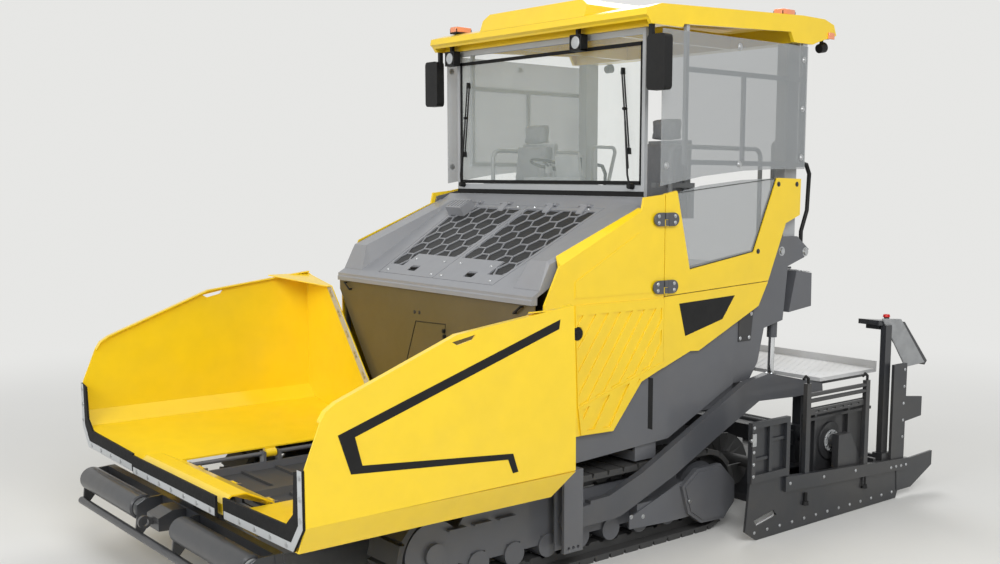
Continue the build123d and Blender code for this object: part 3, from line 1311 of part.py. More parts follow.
# ================================================================ nodes
def build_nodes():
    """Every node's shape by name."""
    nodes = {
        "main_frame": main_frame(),
        "track_frames": both_sides(track_frame_left()),
        "conveyor": conveyor(),
        "hopper_bulkhead": hopper_bulkhead(),
        "engine": engine(),
        "front_apron": front_apron(),
        "apron_flap": apron_flap(),
        "push_beam": push_beam(),
        "hood_frame": hood_frame(),
        "side_frames": both_sides(side_frame_left()),
        "side_panels": both_sides(side_panel_left()),
        "door_hinges": both_sides(door_hinges_left()),
        "rear_body": rear_body(),
        "rear_columns": both_sides(rear_column_left()),
        "platform": platform(),
        "cab_frame": group(windshield_frame(), both_sides(window_bars_left()), roof_posts()),
        "windshield": windshield_glass(),
        "side_windows": both_sides(side_glass_left()),
        "roof": roof(),
        "seats": seats(),
        "seat_cushions": seat_cushions(),
        "console": console(),
        "handrails": handrails(),
        "mirrors": mirrors(),
        "lamps": lamps(),
        "auger_drive": auger_drive(),
        "tow_arms": both_sides(tow_arm_left()),
        "screed_body": screed_body(),
        "walkway": walkway(),
    }
    lift_barrel, lift_rod = cylinder_pair((lift_pin_x, lift_y, lift_pin_z), (lift_eye_x, lift_y,
                                                                             lift_eye_z), (0, 1, 0),
                                          lift_barrel_radius, lift_rod_radius, lift_pin_radius,
                                          lift_barrel_length,
                                          lift_eye_clearance, lift_eye_width)
    hood_door = hood_door_left()
    pairs = {
        "track": track_left(),
        "hopper_wing": wing_left(),
        "wing_flap": wing_flap_left(),
        "push_roller": push_roller_left(),
        "side_door": side_door_left(),
        "auger": auger_left(),
        "screed_extension": extension_left(),
        "end_gate": end_gate_left(),
        "screed_console": screed_console_left(),
        "lift_barrel": lift_barrel,
        "lift_rod": lift_rod,
    }
    for name, shape in pairs.items():
        nodes[name + "_left"] = shape
        nodes[name + "_right"] = mirrored(shape)
    nodes["hood_door_left"] = hood_door
    nodes["hood_door_right"] = mirrored(hood_door + vent_box())
    return nodes


def main():
    """Write one STEP file per node."""
    os.makedirs("parts", exist_ok=True)
    for name, shape in build_nodes().items():
        export_step(shape, os.path.join("parts", name + ".step"))


if __name__ == "__main__":
    main()
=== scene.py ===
"""Looks of a tracked asphalt paver: paint, rubber, glass and the small fittings on its frame."""

import json
import logging
import math
from dataclasses import dataclass, field
from enum import Enum

import bmesh
import bpy
from mathutils import Matrix, Vector

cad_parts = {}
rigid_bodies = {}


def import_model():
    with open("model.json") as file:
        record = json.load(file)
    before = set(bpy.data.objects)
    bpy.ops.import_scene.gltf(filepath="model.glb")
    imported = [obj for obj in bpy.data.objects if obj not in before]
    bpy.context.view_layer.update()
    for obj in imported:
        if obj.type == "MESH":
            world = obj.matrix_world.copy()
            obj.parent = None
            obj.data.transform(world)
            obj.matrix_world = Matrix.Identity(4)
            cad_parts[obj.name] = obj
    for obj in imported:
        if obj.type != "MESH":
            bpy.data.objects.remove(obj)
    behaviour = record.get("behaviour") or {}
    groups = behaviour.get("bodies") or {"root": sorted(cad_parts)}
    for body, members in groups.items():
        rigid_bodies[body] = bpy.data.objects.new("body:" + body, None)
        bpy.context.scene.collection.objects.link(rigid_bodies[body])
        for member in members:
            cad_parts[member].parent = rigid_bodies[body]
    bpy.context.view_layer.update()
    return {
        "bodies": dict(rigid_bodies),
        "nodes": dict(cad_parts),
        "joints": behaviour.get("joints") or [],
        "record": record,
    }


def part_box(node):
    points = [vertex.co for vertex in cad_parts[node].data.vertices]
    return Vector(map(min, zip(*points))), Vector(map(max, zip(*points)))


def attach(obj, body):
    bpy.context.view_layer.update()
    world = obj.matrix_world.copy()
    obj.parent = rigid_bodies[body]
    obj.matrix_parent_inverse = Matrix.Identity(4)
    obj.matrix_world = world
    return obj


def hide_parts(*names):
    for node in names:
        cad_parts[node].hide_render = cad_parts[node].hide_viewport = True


log = logging.getLogger("paver")

Colour = tuple[float, float, float, float]
Spot = tuple[float, float, float]
Place = tuple[float, float]
Outline = tuple[Place, ...]
Numbers = tuple[float, ...]

# directions, the sides' words, and the bodies of which there's only one
AHEAD: Spot = (1, 0, 0)
OUT: Spot = (0, 1, 0)
UP: Spot = (0, 0, 1)
SIDES: dict[int, str] = {1: "left", -1: "right"}
SINGLE_BODIES = ("chassis", "apron", "screed")
EDGE_SEGMENTS, EDGE_ANGLE = 2, math.radians(40)
WASHER_SIDES, WASHER_DEPTH = 14, 0.003


# ---- node writing
def linear(red: int, green: int, blue: int) -> Colour:
    """Turn a display colour into the scene's linear colour.

    Args:
        red: Red from 0 to 255.
        green: Green from 0 to 255.
        blue: Blue from 0 to 255.

    Returns:
        The colour as four linear numbers.
    """
    def channel(value: int) -> float:
        """One channel without its display curve."""
        share = value / 255
        return share / 12.92 if share <= 0.04045 else ((share + 0.055) / 1.055) ** 2.4

    return channel(red), channel(green), channel(blue), 1.0


def toned(colour: Colour, gain: float, lift: float = 0.0) -> Colour:
    """A colour made darker or paler."""
    return tuple(min(1.0, channel * gain + lift) for channel in colour[:3]) + (1.0,)


def placed(name: str, data: object) -> bpy.types.Object:
    """Put an object with some data in the scene."""
    made = bpy.data.objects.new(name, data)
    bpy.context.scene.collection.objects.link(made)
    return made


def evaluated(holder: bpy.types.Object) -> bpy.types.Mesh:
    """The object's mesh with its modifiers applied."""
    return bpy.data.meshes.new_from_object(holder.evaluated_get(bpy.context.evaluated_depsgraph_get()))


def circle(x: float, y: float, radius: float, sides: int, turn: float = 0.0) -> Outline:
    """Points of a circle, the first one a share of a side past the first axis."""
    return tuple((x + radius * math.cos(angle), y + radius * math.sin(angle))
                 for angle in (2 * math.pi * (k + turn) / sides for k in range(sides)))


class Value:
    """A number that flows through a node tree, written with ordinary operators."""

    def __init__(self, graph: "Graph", socket: bpy.types.NodeSocket) -> None:
        """Wrap an output of the graph's tree."""
        self.graph = graph
        self.socket = socket

    def _maths(self, operation: str, left: object, right: object) -> "Value":
        """Add one Math node on two values."""
        return self.graph.node("ShaderNodeMath", {"operation": operation}, {0: left, 1: right})

    def __add__(self, other: object) -> "Value":
        """Sum of two values."""
        return self._maths("ADD", self, other)

    def __mul__(self, other: object) -> "Value":
        """Product of two values."""
        return self._maths("MULTIPLY", self, other)

    __radd__ = __add__
    __rmul__ = __mul__


class Graph:
    """A node tree under construction."""

    def __init__(self, tree: bpy.types.NodeTree) -> None:
        """Take the tree that the nodes go in."""
        self.tree = tree

    def node(self, kind: str, settings: dict, inputs: dict, output: object = 0) -> Value:
        """Add any node.

        Args:
            kind: The node's type name.
            settings: Its properties, and "ramp" for a ramp's stops.
            inputs: Values or plain numbers by socket.
            output: The socket to hand back.

        Returns:
            The chosen output.
        """
        made = self.tree.nodes.new(kind)
        for key, setting in settings.items():
            if key == "ramp":
                for index, (place, grey) in enumerate(setting):
                    stop = made.color_ramp.elements[index] if index < 2 else made.color_ramp.elements.new(place)
                    stop.position, stop.color = place, (grey, grey, grey, 1)
            else:
                setattr(made, key, setting)
        for key, value in inputs.items():
            self.feed(made.inputs[key], value)
        return Value(self, made.outputs[output])

    def feed(self, socket: bpy.types.NodeSocket, value: object) -> None:
        """Link a value to a socket, or set a plain one on it."""
        if isinstance(value, Value):
            self.tree.links.new(value.socket, socket)
        else:
            socket.default_value = value

    def seen(self) -> Value:
        """One for what the camera, gloss and glass see, and zero for light that falls on things."""
        path = self.tree.nodes.new("ShaderNodeLightPath")
        camera, gloss, glass = (Value(self, path.outputs[f"Is {ray} Ray"])
                                for ray in ("Camera", "Glossy", "Transmission"))
        return camera + gloss + glass


class Sheet(Graph):
    """The node tree of one material under construction."""

    def __init__(self, name: str) -> None:
        """Start an empty material with its shader and output."""
        self.material = bpy.data.materials.new(name)
        self.material.use_nodes = True
        super().__init__(self.material.node_tree)
        self.tree.nodes.clear()
        self.shader = self.tree.nodes.new("ShaderNodeBsdfPrincipled")
        self.output = self.tree.nodes.new("ShaderNodeOutputMaterial")
        self.tree.links.new(self.shader.outputs[0], self.output.inputs["Surface"])

    def place(self) -> Value:
        """Coordinates of the surface in the machine's own frame."""
        return self.node("ShaderNodeTexCoord", {}, {}, "Object")

    def noise(self, scale: float, detail: float = 3.0, roughness: float = 0.5) -> Value:
        """Cloudy variation of a given scale per metre."""
        return self.node("ShaderNodeTexNoise", {}, {"Vector": self.place(), "Scale": scale, "Detail": detail,
                                                    "Roughness": roughness}, "Fac")

    def wave(self, direction: str, scale: float) -> Value:
        """Even bands across one direction."""
        return self.node("ShaderNodeTexWave", {"bands_direction": direction},
                         {"Vector": self.place(), "Scale": scale}, "Fac")

    def ramp(self, value: Value, *stops: Place) -> Value:
        """Remap a value through grey stops."""
        return self.node("ShaderNodeValToRGB", {"ramp": stops}, {0: value})

    def mix(self, share: object, first: object, second: object) -> Value:
        """Blend two colours."""
        return self.node("ShaderNodeMix", {"data_type": "RGBA"}, {0: share, 6: first, 7: second}, 2)

    def bump(self, height: Value, strength: float, distance: float) -> None:
        """Drive the shader's normal by a height."""
        heights = {"Height": height, "Strength": strength, "Distance": distance}
        self.set(Normal=self.node("ShaderNodeBump", {}, heights))

    def set(self, **values: object) -> None:
        """Set or link the shader's sockets, with underscores for spaces."""
        for key, value in values.items():
            self.feed(self.shader.inputs[key.replace("_", " ")], value)


# ---- finishes
@dataclass(frozen=True)
class Coating:
    """What every finish has: its name, colour, roughness and slot."""

    name: str
    colour: Colour
    roughness: float = 0.5
    slot: str = "mirror_black"

    def build(self) -> bpy.types.Material:
        """Make the material."""
        sheet = Sheet(self.name)
        self.lay(sheet)
        return sheet.material

    def lay(self, sheet: Sheet) -> None:
        """Write the finish's own nodes on a sheet."""
        raise NotImplementedError


@dataclass(frozen=True)
class Paint(Coating):
    """Sprayed enamel on steel, with a faint orange peel and settled dust."""

    slot: str = "frame_grey"
    coat: float = 0.3
    dust: float = 0.06
    metallic: float = 0.0
    peel: float = 0.05

    def lay(self, sheet: Sheet) -> None:
        """Cloud the enamel, settle the dust and roughen it."""
        dust = sheet.ramp(sheet.noise(2.2, 6), (0.42, 0.0), (0.75, self.dust))
        body = sheet.mix(sheet.ramp(sheet.noise(7.0, 4), (0.3, 0.0), (0.7, 0.35)), self.colour,
                         toned(self.colour, 0.86))
        sheet.set(Base_Color=sheet.mix(dust, body, linear(150, 138, 118)),
                  Roughness=sheet.noise(12.0, 5) * 0.14 + (self.roughness - 0.07) + dust * 0.5,
                  Metallic=self.metallic, Coat_Weight=self.coat, Coat_Roughness=0.12)
        sheet.bump(sheet.noise(260.0, 2), self.peel, 0.002)


@dataclass(frozen=True)
class Steel(Coating):
    """Bare or plated metal with brushed streaks and dull patches."""

    slot: str = "bright_rod"
    grain: float = 60.0

    def lay(self, sheet: Sheet) -> None:
        """Patch the metal and brush it."""
        patch = sheet.noise(self.grain, 5, 0.6)
        sheet.set(Base_Color=sheet.mix(sheet.ramp(patch, (0.35, 0.0), (0.7, 0.6)), self.colour,
                                       toned(self.colour, 0.62)),
                  Roughness=patch * 0.3 + (self.roughness - 0.12), Metallic=1.0)
        sheet.bump(sheet.noise(self.grain * 6, 3), 0.12, 0.001)


@dataclass(frozen=True)
class Rubber(Coating):
    """Matt rubber or moulded plastic with a fine grain."""

    grain: float = 700.0
    depth: float = 0.25

    def lay(self, sheet: Sheet) -> None:
        """Wear the moulding and give it its grain."""
        sheet.set(Base_Color=sheet.mix(sheet.ramp(sheet.noise(9.0, 6), (0.4, 0.0), (0.75, 0.55)), self.colour,
                                       toned(self.colour, 1.4, 0.004)),
                  Roughness=sheet.noise(30.0, 4) * 0.18 + (self.roughness - 0.09), Specular_IOR_Level=0.3)
        sheet.bump(sheet.noise(self.grain, 2), self.depth, 0.0012)


@dataclass(frozen=True)
class Weave(Coating):
    """Woven upholstery: a warp in the finish's colour crossing a weft, with a soft sheen."""

    slot: str = "seat_fabric"
    weft: Colour = linear(112, 114, 118)
    pitch: float = 420.0

    def lay(self, sheet: Sheet) -> None:
        """Cross the yarns and wear them."""
        cross = sheet.wave("Y", self.pitch) * 0.5 + sheet.wave("DIAGONAL", self.pitch) * 0.5
        worn = sheet.ramp(sheet.noise(14.0, 5), (0.35, 0.0), (0.7, 0.4))
        cloth = sheet.mix(cross, self.colour, self.weft)
        sheet.set(Base_Color=sheet.mix(worn, cloth, self.weft), Roughness=cross * 0.1 + 0.82, Sheen_Weight=0.25)
        sheet.bump(cross, 0.5, 0.0012)


@dataclass(frozen=True)
class Mesh(Coating):
    """Dark perforated sheet seen through the hood's cells, its holes painted near black as the shade behind them.
    """

    # Near-black painted shade of the space behind the holes.
    hole_painted_shade: Colour = linear(6, 6, 7)
    pitch: float = 120.0

    def lay(self, sheet: Sheet) -> None:
        """Punch round holes in even rows, filled with painted shade."""
        cells = sheet.node("ShaderNodeTexVoronoi", {"feature": "F1"},
                           {"Vector": sheet.place(), "Scale": self.pitch, "Randomness": 0.0}, "Distance")
        holes = sheet.ramp(cells, (0.28, 1.0), (0.36, 0.0))
        # The holes take a painted shade instead of showing what lies behind the sheet.
        sheet.set(Base_Color=sheet.mix(holes, self.colour, self.hole_painted_shade), Roughness=holes * 0.3 + self.roughness)
        sheet.bump(holes, -0.6, 0.002)


@dataclass(frozen=True)
class Glass(Coating):
    """Tinted or clear pane with a trace of dust."""

    roughness: float = 0.04
    alpha: float = 0.5

    def lay(self, sheet: Sheet) -> None:
        """Tint the pane and haze it."""
        haze = sheet.ramp(sheet.noise(3.0, 6), (0.4, 0.0), (0.8, 0.06))
        sheet.set(Base_Color=sheet.mix(haze, self.colour, linear(190, 190, 185)), Roughness=self.roughness,
                  Alpha=haze + self.alpha, IOR=1.5, Coat_Weight=0.6, Coat_Roughness=0.03)


@dataclass(frozen=True)
class Lens(Coating):
    """Moulded lamp lens with fine flutes."""

    roughness: float = 0.12
    slot: str = "lamp_lens"

    def lay(self, sheet: Sheet) -> None:
        """Flute the lens."""
        flute = sheet.wave("Z", 40.0)
        sheet.set(Base_Color=sheet.mix(flute * 0.25, self.colour, linear(255, 255, 255)), Roughness=self.roughness,
                  Coat_Weight=0.8)
        sheet.bump(flute, 0.4, 0.002)


class Finish(Enum):
    """Every finish on the machine."""

    YELLOW = Paint("yellow_enamel", linear(246, 209, 26), 0.34, coat=0.5)
    GREY = Paint("frame_grey_enamel", linear(92, 94, 99), 0.45)
    HOOD = Paint("hood_grey_enamel", linear(138, 140, 145), 0.42)
    RAIL = Paint("rail_grey_enamel", linear(164, 167, 170), 0.4)
    ARM = Paint("arm_grey_enamel", linear(74, 76, 81), 0.42)
    CHARCOAL = Paint("charcoal_enamel", linear(42, 44, 48), 0.4)
    DARK = Paint("dark_enamel", linear(40, 41, 44), 0.5, coat=0.25)
    BLACK = Rubber("black_moulding", linear(14, 14, 15), 0.5, depth=0.12)
    RUBBER = Rubber("black_rubber", linear(12, 12, 13), 0.78, slot="rubber_black")
    TRACK = Steel("track_steel", linear(27, 27, 29), 0.6, grain=30)
    BRIGHT = Steel("plated_steel", linear(196, 198, 200), 0.32)
    CHROME = Steel("rod_chrome", linear(226, 228, 230), 0.14, grain=8)
    TREAD = Paint("walkway_paint", linear(224, 225, 226), 0.6, slot="deck_aluminium", coat=0.0, dust=0.15)
    CLEAR = Glass("windshield_glass", linear(205, 215, 212), alpha=0.16)
    TINTED = Glass("tinted_glass", linear(58, 60, 62), alpha=0.84)
    AMBER = Lens("amber_lens", linear(236, 120, 16))
    CLOTH = Weave("seat_cloth", linear(150, 152, 156))
    SHELL = Rubber("grey_moulding", linear(150, 152, 154), 0.55, slot="desk_plastic", depth=0.1)
    ZINC = Paint("zinc_strip", linear(190, 193, 195), 0.38, slot="bright_rod", coat=0.0, metallic=0.35)
    # The hopper's wall is dark grey enamel; its olive tint is a painted reflection of the yellow wings.
    OLIVE = Paint("shaded_wall_enamel", linear(86, 74, 44), 0.5, coat=0.2)
    MESH = Mesh("hood_mesh", linear(30, 31, 33))
    LAMP = Lens("white_lens", linear(150, 155, 160), slot="clear_glass")
    MIRROR = Steel("mirror_face", linear(225, 228, 230), 0.14, slot="mirror_black", grain=3)
    SCREEN = Rubber("screen_face", linear(28, 34, 42), 0.2, depth=0.02)
    RED = Rubber("red_moulding", linear(200, 24, 20), 0.35, slot="lamp_lens", depth=0.05)

    def material(self) -> bpy.types.Material:
        """The finish's material, made once."""
        return bpy.data.materials.get(self.value.name) or self.value.build()


NODE_FINISHES: dict[Finish, str] = {
    Finish.YELLOW: "hopper_wing_* side_door_* side_panels roof front_apron",
    Finish.GREY: "main_frame track_frames side_frames rear_body rear_columns platform engine",
    Finish.ARM: "tow_arms lift_barrel_* door_hinges auger_drive",
    Finish.CHARCOAL: "push_beam push_roller_* screed_body screed_extension_* end_gate_* screed_console_*",
    Finish.RAIL: "cab_frame handrails",
    Finish.HOOD: "hood_frame hood_door_*",
    # The wall behind the hopper takes the enamel with the painted reflection of the yellow wings.
    Finish.OLIVE: "hopper_bulkhead",
    Finish.SHELL: "seats console",
    Finish.RUBBER: "wing_flap_* apron_flap",
    Finish.TRACK: "track_* conveyor auger_*",
    Finish.CHROME: "lift_rod_*",
    Finish.TREAD: "walkway",
    Finish.CLEAR: "windshield",
    Finish.TINTED: "side_windows",
    Finish.BLACK: "mirrors lamps",
    Finish.CLOTH: "seat_cushions",
}


# ---- mesh making
@dataclass
class Fitting:
    """A piece under construction, in metres.

    Its side is 1 on the machine's left, -1 to mirror it to the right and 0 where there's only one. Its frame says
    where its own axes lie in the machine's.
    """

    side: int = 0
    frame: Matrix = field(default_factory=lambda: Matrix.Identity(4))
    smooth: float = 35.0

    def __post_init__(self) -> None:
        """Note which hand the piece is for."""
        self.hand = self.side or 1

    def named(self, stem: str) -> str:
        """The stem with the side's word after it."""
        return f"{stem}_{SIDES[self.side]}" if self.side else stem

    def made(self, finish: Finish) -> bpy.types.Mesh:
        """Hand over the finished mesh."""
        raise NotImplementedError

    def finish(self, stem: str, finish: Finish, body: str = "chassis", bevel: float = 0.0) -> bpy.types.Object:
        """Make the mesh a piece with its material, edges and body.

        Args:
            stem: The piece's name without its side.
            finish: Its finish.
            body: The body that it moves with, without its side.
            bevel: Width of its rounded edges.

        Returns:
            The new object.
        """
        mesh = self.made(finish)
        mesh.name = self.named(stem)
        mesh.materials.clear()
        mesh.materials.append(finish.material())
        mesh.shade_smooth()
        mesh.set_sharp_from_angle(angle=math.radians(self.smooth))
        piece = placed(mesh.name, mesh)
        if bevel:
            edge = piece.modifiers.new("rounded_edges", "BEVEL")
            edge.width, edge.segments, edge.harden_normals = bevel, EDGE_SEGMENTS, True
            edge.limit_method, edge.angle_limit = "ANGLE", EDGE_ANGLE
        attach(piece, body if body in SINGLE_BODIES else self.named(body))
        log.info("made %s on %s", piece.name, body)
        return piece


@dataclass
class Shape(Fitting):
    """A piece put together from boxes, bars, plates and tubes."""

    mesh: bmesh.types.BMesh = field(default_factory=bmesh.new)

    def block(self, low: Spot, high: Spot) -> "Shape":
        """Add a box between two corners."""
        middle = (Vector(low) + Vector(high)) / 2
        size = Vector(high) - Vector(low)
        bmesh.ops.create_cube(self.mesh, size=1.0, matrix=Matrix.LocRotScale(middle, None, size))
        return self

    def bar(self, start: Spot, end: Spot, radius: float, tip: float | None = None, sides: int = 20) -> "Shape":
        """Add a round bar or cone between two points."""
        start, end = Vector(start), Vector(end)
        turn = (end - start).to_track_quat("Z", "Y").to_matrix().to_4x4()
        bmesh.ops.create_cone(self.mesh, cap_ends=True, segments=sides, radius1=radius,
                              radius2=radius if tip is None else tip, depth=(end - start).length,
                              matrix=Matrix.Translation((start + end) / 2) @ turn)
        return self

    def prism(self, outline: Outline, axis: str, start: float, stop: float) -> "Shape":
        """Add a plate with an outline across one axis.

        Args:
            outline: Corners in the two other axes, in their order.
            axis: The axis that the plate is thick along.
            start: Its first face.
            stop: Its other face.

        Returns:
            This shape.
        """
        across = "xyz".index(axis)
        rims = [[self.mesh.verts.new((*spot[:across], level, *spot[across:])) for spot in outline]
                for level in (start, stop)]
        self.mesh.faces.new(rims[0])
        self.mesh.faces.new(list(reversed(rims[1])))
        for index in range(len(outline)):
            after = (index + 1) % len(outline)
            self.mesh.faces.new((rims[0][index], rims[1][index], rims[1][after], rims[0][after]))
        return self

    def tube(self, path: list[Spot] | tuple[Spot, ...], radius: float, sides: int = 12) -> "Shape":
        """Add a round tube that turns its corners in one mitre each."""
        points = [Vector(spot) for spot in path]
        rings = []
        for index, point in enumerate(points):
            before = (point - points[index - 1]).normalized() if index else None
            after = (points[index + 1] - point).normalized() if index + 1 < len(points) else None
            heading = ((before or after) + (after or before)).normalized()
            turn = self._untwisted(turn, heading) if index else heading.to_track_quat("Z", "Y").to_matrix()
            grow = 1.0 if before is None or after is None else 1.0 / max(0.5, heading.dot(after))
            rings.append([self.mesh.verts.new(point + turn @ Vector((x, y, 0)) * grow)
                          for x, y in circle(0, 0, radius, sides)])
        for ring, after in zip(rings, rings[1:]):
            for k in range(sides):
                self.mesh.faces.new((ring[k], ring[(k + 1) % sides], after[(k + 1) % sides], after[k]))
        self.mesh.faces.new(list(reversed(rings[0])))
        self.mesh.faces.new(rings[-1])
        return self

    @staticmethod
    def _untwisted(turn: Matrix, heading: Vector) -> Matrix:
        """Carry a ring's axes along to a new heading without twist."""
        across = turn.col[0] - heading * turn.col[0].dot(heading)
        across.normalize()
        return Matrix((across, heading.cross(across), heading)).transposed()

    def written(self) -> bpy.types.Mesh:
        """Write the faces to a mesh of their own and let go of them."""
        bmesh.ops.recalc_face_normals(self.mesh, faces=self.mesh.faces)
        data = bpy.data.meshes.new("shape")
        self.mesh.to_mesh(data)
        self.mesh.free()
        return data

    def made(self, finish: Finish) -> bpy.types.Mesh:
        """Lay the shape in its frame, on its side."""
        for vertex in self.mesh.verts:
            vertex.co = self.frame @ vertex.co
            vertex.co.y *= self.hand
        return self.written()


@dataclass
class Studs(Fitting):
    """Heads set on points by Geometry Nodes: screws, rivets, discs and tread.

    A head has a radius at its foot and one at its top, a height, some sides and a washer under it.
    """

    smooth: float = 30.0
    radius: float = 0.012
    height: float = 0.009
    sides: int = 6
    top: float | None = None
    washer: float | None = None
    points: list[Vector] = field(default_factory=list)
    aims: list[Vector] = field(default_factory=list)

    def add(self, spot: Spot, aim: Spot) -> "Studs":
        """Set one head at a point, looking along a direction."""
        point, heading = self.frame @ Vector(spot), self.frame.to_3x3() @ Vector(aim)
        for vector, found in ((point, self.points), (heading, self.aims)):
            vector.y *= self.hand
            found.append(vector)
        return self

    def on_side(self, face: float, *places: Place) -> "Studs":
        """Set a head on an upright face at each place along and above."""
        for x, z in places:
            self.add((x, face, z), OUT)
        return self

    def row(self, start: Spot, end: Spot, count: int, aim: Spot) -> "Studs":
        """Set an even row of heads from one point to another."""
        first, last = Vector(start), Vector(end)
        for index in range(count):
            self.add(tuple(first.lerp(last, index / max(1, count - 1))), aim)
        return self

    @staticmethod
    def build_tree() -> bpy.types.GeometryNodeTree:
        """Make the node tree once.

        Returns:
            A tree that stands a coned head on a thin washer at every point, along its "aim".
        """
        name = "heads_on_points"
        if name in bpy.data.node_groups:
            return bpy.data.node_groups[name]
        tree = bpy.data.node_groups.new(name, "GeometryNodeTree")
        for word, kind in (("Geometry", "Geometry"), ("Sides", "Int"), ("Radius", "Float"), ("Top", "Float"),
                           ("Height", "Float"), ("Washer", "Float"), ("Material", "Material")):
            tree.interface.new_socket(word, in_out="INPUT", socket_type=f"NodeSocket{kind}")
        tree.interface.new_socket("Geometry", in_out="OUTPUT", socket_type="NodeSocketGeometry")
        graph = Graph(tree)
        given = {socket.name: Value(graph, socket) for socket in tree.nodes.new("NodeGroupInput").outputs}
        head = graph.node("GeometryNodeMeshCone", {},
                          {"Vertices": given["Sides"], "Radius Bottom": given["Radius"], "Radius Top": given["Top"],
                           "Depth": given["Height"]}, "Mesh")
        washer = graph.node("GeometryNodeMeshCylinder", {},
                            {"Radius": given["Washer"], "Vertices": WASHER_SIDES, "Depth": WASHER_DEPTH}, "Mesh")
        both = graph.node("GeometryNodeJoinGeometry", {}, {0: head})
        graph.feed(both.socket.node.inputs[0], washer)
        aim = graph.node("GeometryNodeInputNamedAttribute", {"data_type": "FLOAT_VECTOR"}, {"Name": "aim"},
                         "Attribute")
        turn = graph.node("FunctionNodeAlignRotationToVector", {"axis": "Z"}, {"Vector": aim}, "Rotation")
        stand = graph.node("GeometryNodeInstanceOnPoints", {},
                           {"Points": given["Geometry"], "Instance": both, "Rotation": turn})
        real = graph.node("GeometryNodeRealizeInstances", {}, {0: stand})
        paint = graph.node("GeometryNodeSetMaterial", {}, {"Geometry": real, "Material": given["Material"]})
        graph.feed(tree.nodes.new("NodeGroupOutput").inputs[0], paint)
        return tree

    def made(self, finish: Finish) -> bpy.types.Mesh:
        """Evaluate the tree on the points and keep the result as one plain mesh."""
        data = bpy.data.meshes.new("points")
        data.from_pydata([tuple(point) for point in self.points], [], [])
        aims = data.attributes.new("aim", "FLOAT_VECTOR", "POINT")
        aims.data.foreach_set("vector", [number for aim in self.aims for number in aim.normalized()])
        holder = placed("points", data)
        modifier = holder.modifiers.new("heads", "NODES")
        modifier.node_group = self.build_tree()
        chosen = {"Sides": self.sides, "Radius": self.radius, "Height": self.height, "Material": finish.material(),
                  "Top": self.radius * 0.92 if self.top is None else self.top,
                  "Washer": self.radius * 1.45 if self.washer is None else self.washer}
        for item in modifier.node_group.interface.items_tree:
            if item.in_out == "INPUT" and item.name in chosen:
                modifier[item.identifier] = chosen[item.name]
        mesh = evaluated(holder)
        holder.modifiers.clear()
        bpy.data.objects.remove(holder)
        return mesh


